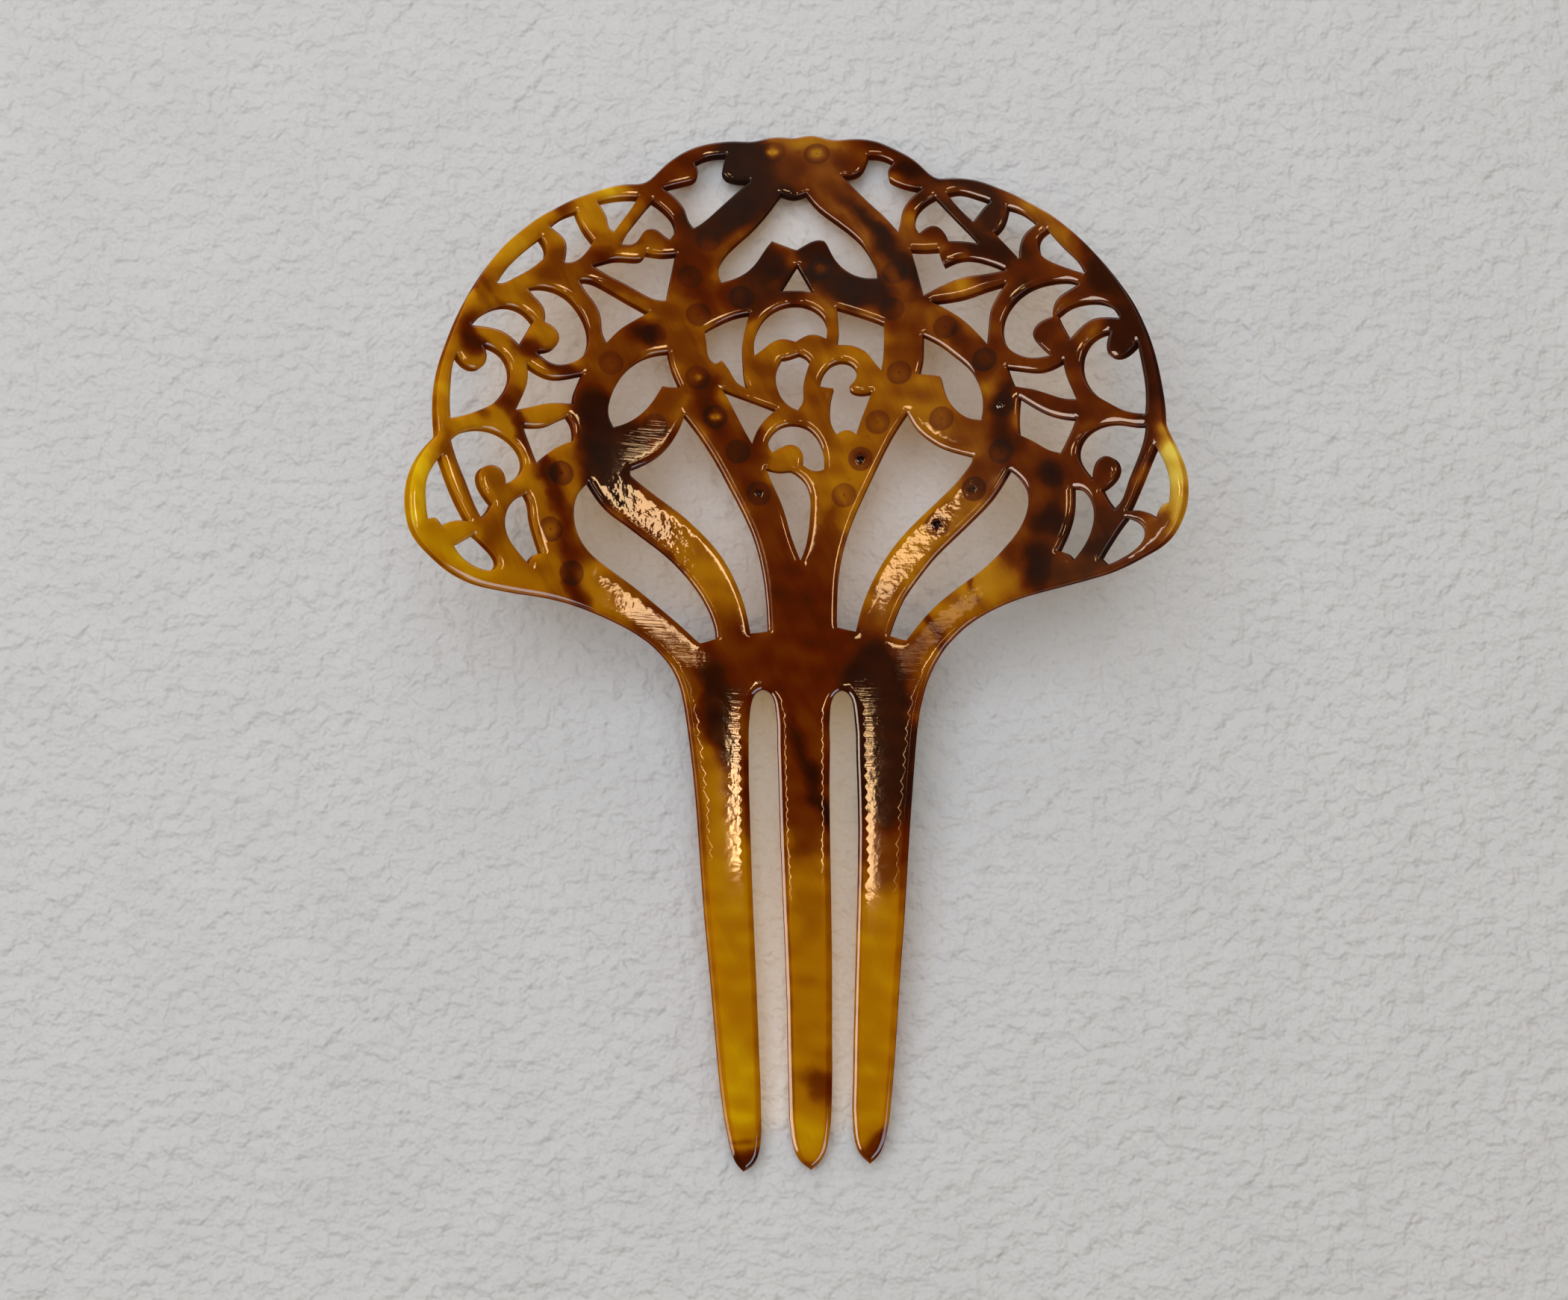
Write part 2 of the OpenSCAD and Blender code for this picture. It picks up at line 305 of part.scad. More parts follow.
// The outline, cut in stretches that meet, with points beyond the sheet to close each one
rim_cuts = [
    // crest, left of the middle
    [[0.3, 153.5, 1], [-0.8, 153.7, 0], [-2.3, 153.8, 0], [-3.8, 153.4, 0], [-5.3, 153, 0],
     [-7.5, 153.1, 0], [-10, 152.8, 0], [-12.6, 152, 0], [-15, 150.5, 0], [-17, 148.6, 0],
     [-18.4, 146.9, 0], [-19.6, 145.6, 0], [-20.8, 145.1, 1], [-30, 165, 1], [4, 165, 1]],
    // crest, right of the middle
    [[0.3, 153.5, 1], [1.3, 153.8, 0], [2.7, 154, 0], [4.2, 153.5, 0], [5.6, 153, 0],
     [7.4, 153.1, 0], [9.4, 153, 0], [11.4, 152.4, 0], [13.7, 150.9, 0], [15.7, 149.4, 0],
     [17.2, 147.8, 0], [18.5, 146.1, 0], [19.7, 145.2, 1], [30, 165, 1], [-4, 165, 1]],
    // rim, upper left
    [[-20.8, 145.1, 1], [-22.8, 144.9, 0], [-25, 144.2, 0], [-27.5, 143, 0], [-30, 141.7, 0],
     [-32.5, 140, 0], [-35, 138.2, 0], [-37.4, 136, 1], [-60, 158, 1], [-12, 165, 1]],
    // rim, left side
    [[-37.4, 136, 1], [-40, 133.4, 0], [-42, 130.8, 0], [-43.9, 128, 0], [-45.7, 125, 0],
     [-47.4, 121.8, 0], [-49, 118.2, 0], [-50.4, 114.7, 0], [-51.3, 111.3, 0], [-51.7, 107.8, 0],
     [-51.6, 104, 1], [-76, 95, 1], [-76, 160, 1], [-44, 160, 1]],
    // left lobe
    [[-51.6, 104, 1], [-53.6, 101.9, 0], [-54.9, 99.9, 0], [-55.8, 97.7, 0], [-56.2, 95.3, 0],
     [-56.1, 93, 0], [-55.6, 91, 0], [-54.6, 89.4, 0], [-52.8, 87.7, 0], [-50.5, 85.9, 1],
     [-64, 72, 1], [-76, 80, 1], [-76, 112, 1]],
    // under the left lobe
    [[-50.5, 85.9, 1], [-48.5, 84.8, 0], [-46, 83.9, 0], [-43, 83.4, 0], [-40, 83, 0], [-37, 82.7, 0],
     [-34.4, 82.3, 0], [-31.6, 81.6, 0], [-28.8, 80.6, 0], [-26, 79.4, 0], [-23.3, 78, 0],
     [-21, 76.4, 1], [-16, 60, 1], [-76, 60, 1], [-76, 92, 1]],
    // left tine, outer side
    [[-21, 76.4, 1], [-19.3, 74.7, 0], [-17.9, 72.8, 0], [-17, 70.8, 0], [-16.5, 69, 0],
     [-16, 66, 0], [-15.4, 61.5, 0], [-14.8, 56, 0], [-14.2, 48, 0], [-13.5, 38, 0], [-12.6, 28, 0],
     [-11.8, 18, 0], [-11, 10, 0], [-10.3, 5.8, 0], [-9.6, 2.9, 0], [-8.5, 1.4, 1], [10, -3, 1],
     [10, -8, 1], [-76, -8, 1], [-76, 62, 1]],
    // left slot
    [[-8.5, 1.4, 1], [-7.2, 2.3, 0], [-6.4, 4.6, 0], [-6.2, 9.5, 0], [-6.4, 18, 0], [-6.7, 28, 0],
     [-7.1, 40, 0], [-7.4, 52, 0], [-7.5, 62, 0], [-7.2, 67.2, 0], [-6.6, 69.2, 0], [-5.5, 69.9, 0],
     [-4.3, 69.3, 0], [-3.7, 67.4, 0], [-3.5, 62, 0], [-3.3, 50, 0], [-3, 38, 0], [-2.7, 26, 0],
     [-2.6, 12, 0], [-2.3, 5.8, 0], [-1.5, 3, 0], [0.1, 1.4, 1], [20, -3, 1], [20, -8, 1],
     [-30, -8, 1], [-30, -3, 1]],
    // right slot
    [[0.1, 1.4, 1], [1.6, 3, 0], [2.4, 5.7, 0], [2.9, 11, 0], [3.1, 20, 0], [3.3, 30, 0],
     [3.4, 42, 0], [3.5, 56, 0], [3.7, 62, 0], [3.8, 66.6, 0], [4.4, 68.9, 0], [5.5, 69.6, 0], [6.6, 68.9, 0],
     [7.1, 66.8, 0], [7.3, 60, 0], [7.3, 50, 0], [6.8, 38, 0], [6.2, 26, 0], [5.7, 14, 0],
     [5.6, 6.8, 0], [6.2, 3.8, 0], [7.6, 2.2, 1], [30, -3, 1], [30, -8, 1],
     [-20, -8, 1], [-20, -3, 1]],
    // right tine, outer side
    [[7.6, 2.2, 1], [8.9, 3.7, 0], [9.8, 6.4, 0], [10.4, 10.5, 0], [11.1, 17, 0], [12.1, 28, 0],
     [13.1, 38, 0], [14, 48, 0], [14.8, 56, 0], [15.4, 61.5, 0], [16, 65.8, 0], [16.7, 68.6, 0],
     [17.5, 70.9, 0], [18.7, 73.3, 0], [20.4, 75.7, 1], [76, 60, 1], [76, -8, 1], [-12, -8, 1],
     [-12, -3, 1]],
    // under the right lobe
    [[20.3, 75.5, 1], [22.7, 77.8, 0], [25, 79.3, 0], [27.8, 80.6, 0], [30.8, 81.6, 0], [34, 82.3, 0],
     [37.3, 82.9, 0], [40.5, 83.5, 0], [43.5, 84.1, 0], [46.3, 85, 0], [49.2, 86.2, 1], [76, 92, 1],
     [76, 60, 1], [16, 60, 1]],
    // right lobe
    [[49.2, 86.2, 1], [51.2, 87.1, 0], [52.8, 88.3, 0], [54.1, 90.1, 0], [55, 92.3, 0], [55.3, 94.9, 0],
     [55, 97.2, 0], [54.2, 99.5, 0], [53, 101.9, 0], [52.1, 103.9, 1], [76, 112, 1], [76, 80, 1],
     [64, 72, 1]],
    // rim, right side
    [[52.1, 103.9, 1], [52, 106.4, 0], [51.5, 109.5, 0], [50.8, 112.8, 0], [49.8, 116.2, 0],
     [48.6, 119.2, 0], [47.1, 122.3, 0], [45.3, 125.2, 0], [43.4, 128, 0], [41.3, 130.8, 0],
     [39, 133.5, 0], [37, 135.6, 1], [44, 160, 1], [76, 160, 1], [76, 95, 1]],
    // rim, upper right
    [[37, 135.6, 1], [35.1, 137.4, 0], [32.8, 139.2, 0], [30.2, 141.2, 0], [27.5, 142.9, 0],
     [25.2, 144.2, 0], [22.6, 145, 0], [19.7, 145.2, 1], [12, 165, 1], [60, 158, 1]],
];

// Stones, left and right of each pair: [u, v, width of the hole where the drill broke through the back]
stones = [
    [-2.6, 151, 0], [3.3, 150.6, 0],
    [-11.7, 136.2, 0], [12, 135.9, 0],
    [-2.5, 132.1, 0], [3.6, 131.6, 0],
    [-14.4, 130.3, 0], [13.8, 130.4, 0],
    [-7.4, 127.2, 0], [7.4, 127.5, 0],
    [-13.4, 124.4, 0], [13.4, 124.8, 0],
    [-19.7, 121, 0], [20.9, 121.4, 0],
    [-26, 116.5, 0], [26.4, 116, 0],
    [-13.8, 114.8, 0], [14.4, 115, 0],
    [-29, 110, 0], [28.8, 109.2, 0.4],
    [-11.5, 109, 0], [11.3, 107.8, 0],
    [-20, 107.5, 0], [20.3, 107.8, 0],
    [-8.4, 103.9, 0], [8.8, 102.5, 0.8],
    [-27.8, 103.4, 0], [28.7, 102.4, 0],
    [-33.7, 100, 0], [36, 98.3, 0],
    [-5.6, 97.8, 0.2], [6.4, 97.3, 0],
    [-24.6, 97.2, 0], [24.8, 97.3, 0.3],
    [-19.7, 93, 0], [19.5, 92.6, 0.9],
    [-35.4, 92, 0], [36, 91.7, 0],
    [-32.4, 86, 0], [32.5, 86.2, 0],
];
function name(i) = str("stone_", i < 10 ? "0" : "", i);

// A conical pit drilled in the front face, now and then right through
module pit(row) {
    square_on(spot(row)) {
        translate([0, 0, girdle_z])
            cylinder(h = stone_deep + pit_gap, d1 = stone_d + 2 * pit_gap, d2 = 0.3, $fn = 48);
        translate([0, 0, girdle_z - 1.2]) cylinder(h = 1.21, d = stone_d + 2 * pit_gap, $fn = 48);
        if (row[2] > 0) translate([0, 0, -sheet_t]) cylinder(h = sheet_t + 1, d = row[2], $fn = 24);
    }
}

// A cut glass stone, table outwards and point inwards: sixteen crown facets, eight below the girdle
module stone(i) {
    color("#dfe6ee")
    square_on(spot(stones[i - 1]))
    translate([0, 0, girdle_z])
    rotate([0, 0, 37 * i])
    hull() {
        translate([0, 0, -stone_high]) rotate([0, 0, 22.5]) cylinder(h = 0.1, d = stone_table, $fn = 8);
        translate([0, 0, -0.1]) cylinder(h = 0.1, d = stone_d, $fn = 8);
        translate([0, 0, stone_deep - 0.1]) cylinder(h = 0.1, d = 0.2, $fn = 8);
    }
}

module comb() {
    color("#b87a12")
    difference() {
        bent_sheet();
        for (row = stones) pit(row);
        for (rows = concat(left_cuts, right_cuts, middle_cuts)) saw(rows, middle(rows), 8);
        for (rows = rim_cuts) saw(rows, middle([for (r = rows) if (abs(r[0]) < 60 && r[1] > 0 && r[1] < 157) r]), 40);
    }
}

comb();
for (i = [1 : len(stones)]) stone(i);
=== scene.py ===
import json
import math
from functools import partial
import bmesh
import bpy
import numpy as np
from mathutils import Matrix, Vector
from mathutils.geometry import delaunay_2d_cdt

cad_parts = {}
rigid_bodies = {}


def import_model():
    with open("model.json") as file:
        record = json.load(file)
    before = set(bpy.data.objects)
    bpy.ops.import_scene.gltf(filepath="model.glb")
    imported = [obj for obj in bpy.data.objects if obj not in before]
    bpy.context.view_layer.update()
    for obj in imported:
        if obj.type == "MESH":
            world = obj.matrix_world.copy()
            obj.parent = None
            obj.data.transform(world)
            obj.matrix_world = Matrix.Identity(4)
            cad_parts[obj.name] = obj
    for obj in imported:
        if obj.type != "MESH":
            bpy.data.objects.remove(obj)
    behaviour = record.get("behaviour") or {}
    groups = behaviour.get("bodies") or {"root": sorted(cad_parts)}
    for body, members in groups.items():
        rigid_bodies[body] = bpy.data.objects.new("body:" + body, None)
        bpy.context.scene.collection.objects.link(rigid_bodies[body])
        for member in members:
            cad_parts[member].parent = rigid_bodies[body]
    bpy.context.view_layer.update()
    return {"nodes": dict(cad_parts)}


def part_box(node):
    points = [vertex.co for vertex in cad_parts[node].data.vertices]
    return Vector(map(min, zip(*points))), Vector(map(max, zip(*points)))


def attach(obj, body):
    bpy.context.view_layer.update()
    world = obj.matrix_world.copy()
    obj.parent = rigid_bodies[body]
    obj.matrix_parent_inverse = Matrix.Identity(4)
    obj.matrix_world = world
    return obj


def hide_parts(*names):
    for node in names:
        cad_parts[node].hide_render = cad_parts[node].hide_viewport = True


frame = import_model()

print("mantilla comb: frame loaded")

mm = 0.001
scene = bpy.context.scene

# The sheet as it was before it was bent, in millimetres: u across, v along from the tine tips,
# w above the hollow back face, so the front face lies at w = -thick
sheet = {
    "thick": 2.2,
    "wideRadius": 80.0,   # bend across the comb
    "crestRadius": 230.0,  # arch along the crest
    "tineRadius": 900.0,  # gentle arch along the tines
    "shoulder": 68.5,     # where the tines end
    "tip": 1.4,           # lowest and highest v, on which the comb lies
    "top": 154.0,
    "lobes": ((-56.2, 95.3), (55.3, 94.9)),
    "ends": ((0.1, 1.4), (2.7, 154.0)),
}


def alongSpine(v, w=0.0):
    # The long section: an arc of the crest's radius past the shoulder, of the tines' radius before it
    v = np.asarray(v, float)
    radius = np.where(v > sheet["shoulder"], sheet["crestRadius"], sheet["tineRadius"])
    a = (v - sheet["shoulder"]) / radius
    return np.stack([(radius + w) * np.sin(a), (radius + w) * np.cos(a) - radius], -1)


restTip = alongSpine(sheet["tip"], -sheet["thick"])
lean = alongSpine(sheet["top"], -sheet["thick"]) - restTip
tilt = math.atan2(lean[1], lean[0])


def laid(p):
    # The section turned until its two ends touch the table
    d = p - restTip
    return np.stack([d[..., 0] * math.cos(tilt) + d[..., 1] * math.sin(tilt),
                     d[..., 1] * math.cos(tilt) - d[..., 0] * math.sin(tilt)], -1)


axisHigh = laid(alongSpine(sheet["shoulder"] - sheet["crestRadius"] * tilt))[1] + sheet["wideRadius"]


def swept(u, v, w):
    # The section carried round the axis of the bend: x = r sin f, z = axis - r cos f, f = u / radius
    s = laid(alongSpine(v, w))
    r = axisHigh - s[..., 1]
    f = np.asarray(u, float) / sheet["wideRadius"]
    return np.stack([r * np.sin(f), s[..., 0], axisHigh - r * np.cos(f)], -1)


middleX = sum(swept(u, v, -sheet["thick"])[0] for u, v in sheet["lobes"]) / 2
middleY = sum(swept(u, v, 0.0)[1] for u, v in sheet["ends"]) / 2


def bent(flat):
    # Flat rows of (u, v, w) in millimetres become places in the row frame in metres
    return (swept(flat[:, 0], flat[:, 1], flat[:, 2]) - [middleX, middleY, 0.0]) * mm


def flattened(places):
    # The same steps backwards: angle round the axis, then angle along the section
    p = np.asarray(places, float) / mm + [middleX, middleY, 0.0]
    high = axisHigh - p[:, 2]
    f = np.arctan2(p[:, 0], high)
    s = np.stack([p[:, 1], axisHigh - np.hypot(p[:, 0], high)], -1)
    y = s[:, 0] * math.cos(tilt) - s[:, 1] * math.sin(tilt) + restTip[0]
    z = s[:, 0] * math.sin(tilt) + s[:, 1] * math.cos(tilt) + restTip[1]
    radius = np.where(y > 0, sheet["crestRadius"], sheet["tineRadius"])
    v = sheet["shoulder"] + radius * np.arctan2(y, z + radius)
    return np.stack([f * sheet["wideRadius"], v, np.hypot(y, z + radius) - radius], -1)


# The sawn outline, read back from the solid
outline = {
    "merge": 0.004,      # mm between points that are taken as one
    "level": 0.5,        # least share of its normal along w for a triangle to lie in a face
    "backAbove": -0.15,  # w above which a face is the back
    "doublings": 16,     # enough for loops of 65000 points
    "step": 0.08,        # mm between samples while smoothing
    "soft": 0.42,        # mm of blur on long curves
    "tight": 0.18,       # mm of blur on small scrolls
    "corner": 40.0,      # degrees of turn in one place that make a corner
    "ease": 6.0,         # degrees each side of it over which the blur gives way
    "cornerSoft": 0.16,  # mm of blur on that, made up for by its gain
    "cornerGain": 3.5,
    "bendSoft": 0.8,     # mm over which turns add up to a small scroll
    "last": 0.07,        # mm of blur over all
    "gap": 0.52,         # mm between points on a straight edge
    "curl": 1.5,         # more points per radian of turn
    "fewest": 12,        # points in a loop
    "drillHole": 3.4,    # mm round: shorter loops are drill holes
}


def sawnLoops(node):
    # Edges between the back face and the walls, each followed to the next round its loop
    whole = bmesh.new()
    whole.from_mesh(node.data)
    bmesh.ops.remove_doubles(whole, verts=whole.verts, dist=outline["merge"] * mm)
    merged = bpy.data.meshes.new("outlineCopy")
    whole.to_mesh(merged)
    whole.free()
    places = np.empty(len(merged.vertices) * 3)
    merged.vertices.foreach_get("co", places)
    merged.calc_loop_triangles()
    corners = np.empty(len(merged.loop_triangles) * 3, int)
    merged.loop_triangles.foreach_get("vertices", corners)
    bpy.data.meshes.remove(merged)
    flat = flattened(places.reshape(-1, 3))
    corners = corners.reshape(-1, 3)
    a, b, c = (flat[corners[:, k]] for k in range(3))
    square = np.cross(b - a, c - a)
    level = np.abs(square[:, 2]) > outline["level"] * np.linalg.norm(square, axis=1)
    back = level & (flat[corners, 2].min(1) > outline["backAbove"])
    corners = corners[back]
    corners = np.where(square[back, 2:] < 0, corners[:, ::-1], corners)
    ahead = np.concatenate([corners[:, [0, 1]], corners[:, [1, 2]], corners[:, [2, 0]]])
    count = len(flat)
    alone = ~np.isin(ahead[:, 0] * count + ahead[:, 1], ahead[:, 1] * count + ahead[:, 0])
    ahead = ahead[alone]
    following = np.full(count, -1)
    following[ahead[:, 0]] = ahead[:, 1]
    rim = np.flatnonzero(following >= 0)
    following = np.searchsorted(rim, following[rim])
    # each point takes its loop's lowest number, by steps that double in length
    number = np.arange(len(rim))
    head, jump = number, following
    for _ in range(outline["doublings"]):
        head = np.minimum(head, head[jump])
        jump = jump[jump]
    # steps left to the head, counted the same way
    isHead = head == number
    jump = np.where(isHead, number, following)
    steps = (~isHead).astype(int)
    for _ in range(outline["doublings"]):
        steps = steps + steps[jump]
        jump = jump[jump]
    order = np.lexsort((-np.where(isHead, len(rim), steps), head))
    cuts = np.flatnonzero(np.diff(head[order])) + 1
    return [flat[rim[group], :2] for group in np.split(order, cuts)]


def strides(loop):
    # From each point of a closed loop to the next
    return np.roll(loop, -1, axis=0) - loop


def walked(loop, cost, gap):
    # The closed loop walked in equal steps of about gap, by what each of its edges costs
    ring = np.vstack([loop, loop[:1]])
    run = np.concatenate([[0.0], np.cumsum(cost)])
    count = max(outline["fewest"], int(round(run[-1] / gap)))
    at = np.arange(count) * run[-1] / count
    return np.stack([np.interp(at, run, ring[:, k]) for k in (0, 1)], -1)


def blurred(rows, wide):
    # Gaussian blur round a closed loop, wide in samples, as a product of its waves
    waves = np.fft.rfftfreq(len(rows))[:, None]
    kept = np.exp(-0.5 * (2 * np.pi * waves * wide) ** 2)
    flat = rows.reshape(len(rows), -1)
    return np.fft.irfft(np.fft.rfft(flat, axis=0) * kept, len(rows), axis=0).reshape(rows.shape)


def polished(loop):
    # The sawn polygon with its facets rubbed out: blurred along its curves, kept at its corners
    step = outline["step"]
    dense = walked(loop, np.hypot(*strides(loop).T), step)
    after = np.roll(dense, -2, axis=0) - dense
    before = dense - np.roll(dense, 2, axis=0)
    cross = before[:, 0] * after[:, 1] - before[:, 1] * after[:, 0]
    turn = np.degrees(np.abs(np.arctan2(cross, (before * after).sum(1))))
    ease = outline["ease"]
    sharp = np.clip((turn - outline["corner"] + ease) / (2 * ease), 0, 1)
    sharp = np.clip(outline["cornerGain"] * blurred(sharp, outline["cornerSoft"] / step), 0, 1)
    bendy = np.clip((blurred(turn, outline["bendSoft"] / step) - ease) / ease, 0, 1)
    wide = blurred(dense, outline["soft"] / step)
    close = blurred(dense, outline["tight"] / step)
    mixed = wide + (close - wide) * bendy[:, None]
    kept = mixed + (dense - mixed) * sharp[:, None]
    kept = blurred(kept, outline["last"] / step)
    # steps are short where the line turns
    ahead = strides(kept)
    heading = np.unwrap(np.arctan2(ahead[:, 1], ahead[:, 0]))
    turns = np.round((heading[-1] - heading[0]) / (2 * np.pi))
    bendRate = np.abs(np.diff(np.concatenate([heading, heading[:1] + turns * 2 * np.pi])))
    cost = np.hypot(*ahead.T) / outline["gap"] + outline["curl"] * blurred(bendRate, 3)
    return walked(kept, cost, 1)


# Distances and insides on the flat sheet, in tiles so that each point meets only what is near
field = {
    "across": (-64, 64),   # mm, the flat sheet's room
    "along": (-8, 160),
    "tile": 8.0,
    "band": 3.0,
    "reach": 3.0,          # mm beyond which distances to an edge aren't told apart
    "longest": 2.0,        # no edge is longer
}


def nearestEdge(points, starts, ends):
    # Distance to the nearest outline edge, at most the reach
    far = np.full(len(points), field["reach"])
    tile = field["tile"]
    spare = field["reach"] + field["longest"]
    along = ends - starts
    length = np.maximum((along ** 2).sum(1), 1e-12)
    for u in np.arange(*field["across"], tile):
        inColumn = (points[:, 0] >= u) & (points[:, 0] < u + tile)
        nearColumn = (starts[:, 0] > u - spare) & (starts[:, 0] < u + tile + spare)
        for v in np.arange(*field["along"], tile):
            here = np.flatnonzero(inColumn & (points[:, 1] >= v) & (points[:, 1] < v + tile))
            nearRow = (starts[:, 1] > v - spare) & (starts[:, 1] < v + tile + spare)
            by = np.flatnonzero(nearColumn & nearRow)
            if len(here) and len(by):
                off = points[here][:, None] - starts[by][None]
                t = np.clip((off * along[by]).sum(2) / length[by], 0, 1)
                gap = np.linalg.norm(off - t[..., None] * along[by], axis=2).min(1)
                far[here] = np.minimum(far[here], gap)
    return far


def insideSheet(points, starts, ends):
    # Odd number of outline edges crossed on the way out, band by band
    odd = np.zeros(len(points), bool)
    low = np.minimum(starts[:, 1], ends[:, 1])
    high = np.maximum(starts[:, 1], ends[:, 1])
    band = field["band"]
    for v in np.arange(*field["along"], band):
        here = np.flatnonzero((points[:, 1] >= v) & (points[:, 1] < v + band))
        by = np.flatnonzero((high >= v) & (low < v + band))
        if len(here) and len(by):
            p = points[here][:, None]
            a, b = starts[by][None], ends[by][None]
            spans = (a[..., 1] > p[..., 1]) != (b[..., 1] > p[..., 1])
            rise = np.where(spans, b[..., 1] - a[..., 1], 1.0)
            cross = a[..., 0] + (p[..., 1] - a[..., 1]) * (b[..., 0] - a[..., 0]) / rise
            odd[here] = ((spans & (cross > p[..., 0])).sum(1) % 2) == 1
    return odd


def thinned(points, gap):
    # One point kept in each small cell
    cell = np.floor(points / gap).astype(int)
    rowLength = 100003
    kept = np.unique(cell[:, 0] * rowLength + cell[:, 1], return_index=True)[1]
    return points[np.sort(kept)]


def facets(points, edges, inside):
    # Delaunay triangles that keep the outline's edges; those over the openings are dropped
    made = delaunay_2d_cdt([Vector(p) for p in points.tolist()], edges.tolist(), [], 0, 1e-7)
    first = np.array([source[0] for source in made[3]])
    corners = first[np.array(made[2])]
    middle = points[corners].mean(1)
    corners = corners[inside(middle)]
    a, b, c = (points[corners[:, k]] for k in range(3))
    turn = (b[:, 0] - a[:, 0]) * (c[:, 1] - a[:, 1]) - (b[:, 1] - a[:, 1]) * (c[:, 0] - a[:, 0])
    return np.where(turn[:, None] < 0, corners[:, ::-1], corners)


# The comb's body: two polished faces, walls between them and a drilled pit behind each stone
body = {
    "edgeWide": 0.8,      # mm, how far the polish rounds the crest's edges in
    "edgeDeep": 0.45,     # and how deep
    "crestBevel": 0.5,    # share of a straight bevel in that rounding
    "tineWide": 0.7,      # the same along the tines, which are bevelled
    "tineDeep": 0.42,
    "bevelEase": 0.12,    # share of its depth by which a bevel's upper corner is eased
    "tineTop": 74.0,      # v where the crest's edges begin to turn into the tines'
    "tineBlend": 10.0,    # and mm over which they do
    "frontWide": 0.38,    # in front
    "frontDeep": 0.34,
    "grid": 0.85,         # mm between points on the open faces
    "row": 0.866,         # share of that between rows, for even triangles
    "stray": 0.06,        # share of that by which they stray
    "gridClear": 0.3,     # mm they keep from the rounded edge
    "ringClear": 0.93,    # share of its distance that a ring's point keeps from other edges
    "holeClear": 0.12,    # mm that points keep from a hole
    "closest": 0.11,      # and from each other
    "pitWide": 2.01,      # mm, radius of a pit's mouth
    "pitTip": 0.15,       # and of its bottom
    "pitMouth": -2.05,    # w where the cone begins
    "pitBottom": -0.39,   # w where it ends
    "pitPoint": 0.02,     # mm of point past its end
    "pitSides": 32,
    "drillSides": 14,
    "sameAxis": 1.0,      # mm within which a drill hole belongs to a pit
}
turnsIn = np.array([0.0, 0.09, 0.3, 0.62, 1.0])  # ring places across a rounded edge


def tineShare(v):
    # 1 on the tines, 0 on the crest, smooth between
    t = np.clip((body["tineTop"] - v) / body["tineBlend"], 0, 1)
    return t * t * (3 - 2 * t)


def roundedBy(d, wide, deep):
    # Quarter of an ellipse: how far the face has dropped at distance d from the edge
    t = np.clip(1 - d / wide, 0, 1)
    return deep * (1 - np.sqrt(1 - t * t))


def bevelledBy(d, wide, deep):
    # Straight slope from the edge, its upper corner a little eased
    t = np.clip(1 - d / wide, 0, 1)
    return deep * (t - body["bevelEase"] * np.sin(np.pi * t))


def backEdge(v):
    # How wide and deep the back's edges are worked: the crest's, blended into the tines'
    share = tineShare(v)
    return [body[crest] + (body[tine] - body[crest]) * share
            for crest, tine in (("edgeWide", "tineWide"), ("edgeDeep", "tineDeep"))]


def frontEdge(v):
    # The front's, the same all along
    return np.full(len(v), body["frontWide"]), body["frontDeep"]


def circle(middle, radius, count):
    # Points round a circle, anticlockwise
    a = np.arange(count) * 2 * np.pi / count
    return np.stack([middle[0] + radius * np.cos(a), middle[1] + radius * np.sin(a)], -1)


def ringEdges(loops):
    # Each point joined to the next round its own loop, the loops numbered one after another
    edges, start = [], 0
    for ring in loops:
        i = np.arange(len(ring))
        edges.append(start + np.stack([i, np.roll(i, -1)], -1))
        start += len(ring)
    return np.vstack(edges)


def oneFace(loops, holes, edgeAt, rng):
    # Outline and hole points first, then rings that follow the rounded edge, then an open grid
    fixed = np.vstack(loops + holes)
    edges = ringEdges(loops + holes)
    sawn = sum(len(ring) for ring in loops)
    starts, ends = fixed[edges[:sawn, 0]], fixed[edges[:sawn, 1]]
    holeStarts, holeEnds = fixed[edges[sawn:, 0]], fixed[edges[sawn:, 1]]

    def solid(places):
        # Inside the outline and outside the holes
        inside = insideSheet(places, starts, ends)
        return inside & ~insideSheet(places, holeStarts, holeEnds) if len(holes) else inside

    inward = []
    for ring in loops:
        along = np.roll(ring, -1, axis=0) - np.roll(ring, 1, axis=0)
        left = np.stack([-along[:, 1], along[:, 0]], -1)
        inward.append(left / np.maximum(np.linalg.norm(left, axis=1, keepdims=True), 1e-9))
    inward = np.vstack(inward)
    base = fixed[:sawn]
    wide = edgeAt(base[:, 1])[0][:, None]
    free = []
    for share in turnsIn[1:]:
        ring = base + inward * wide * share
        near = nearestEdge(ring, starts, ends)
        free.append(ring[near > body["ringClear"] * wide[:, 0] * share])
    low, high = base.min(0), base.max(0)
    gap = body["grid"]
    gu, gv = np.meshgrid(np.arange(low[0], high[0], gap), np.arange(low[1], high[1], gap * body["row"]))
    gu = gu + gap / 2 * (np.arange(len(gu)) % 2)[:, None]
    grid = np.stack([gu.ravel(), gv.ravel()], -1)
    grid = grid + rng.uniform(-body["stray"], body["stray"], grid.shape) * gap
    grid = grid[insideSheet(grid, starts, ends)]
    free.append(grid[nearestEdge(grid, starts, ends) > edgeAt(grid[:, 1])[0] + body["gridClear"]])
    free = thinned(np.vstack(free), body["closest"])
    free = free[solid(free)]
    if len(holes):
        free = free[nearestEdge(free, holeStarts, holeEnds) > body["holeClear"]]
    points = np.vstack([fixed, free])
    away = nearestEdge(points, starts, ends)
    away[:sawn] = 0.0
    return points, facets(points, edges, solid), away, sawn


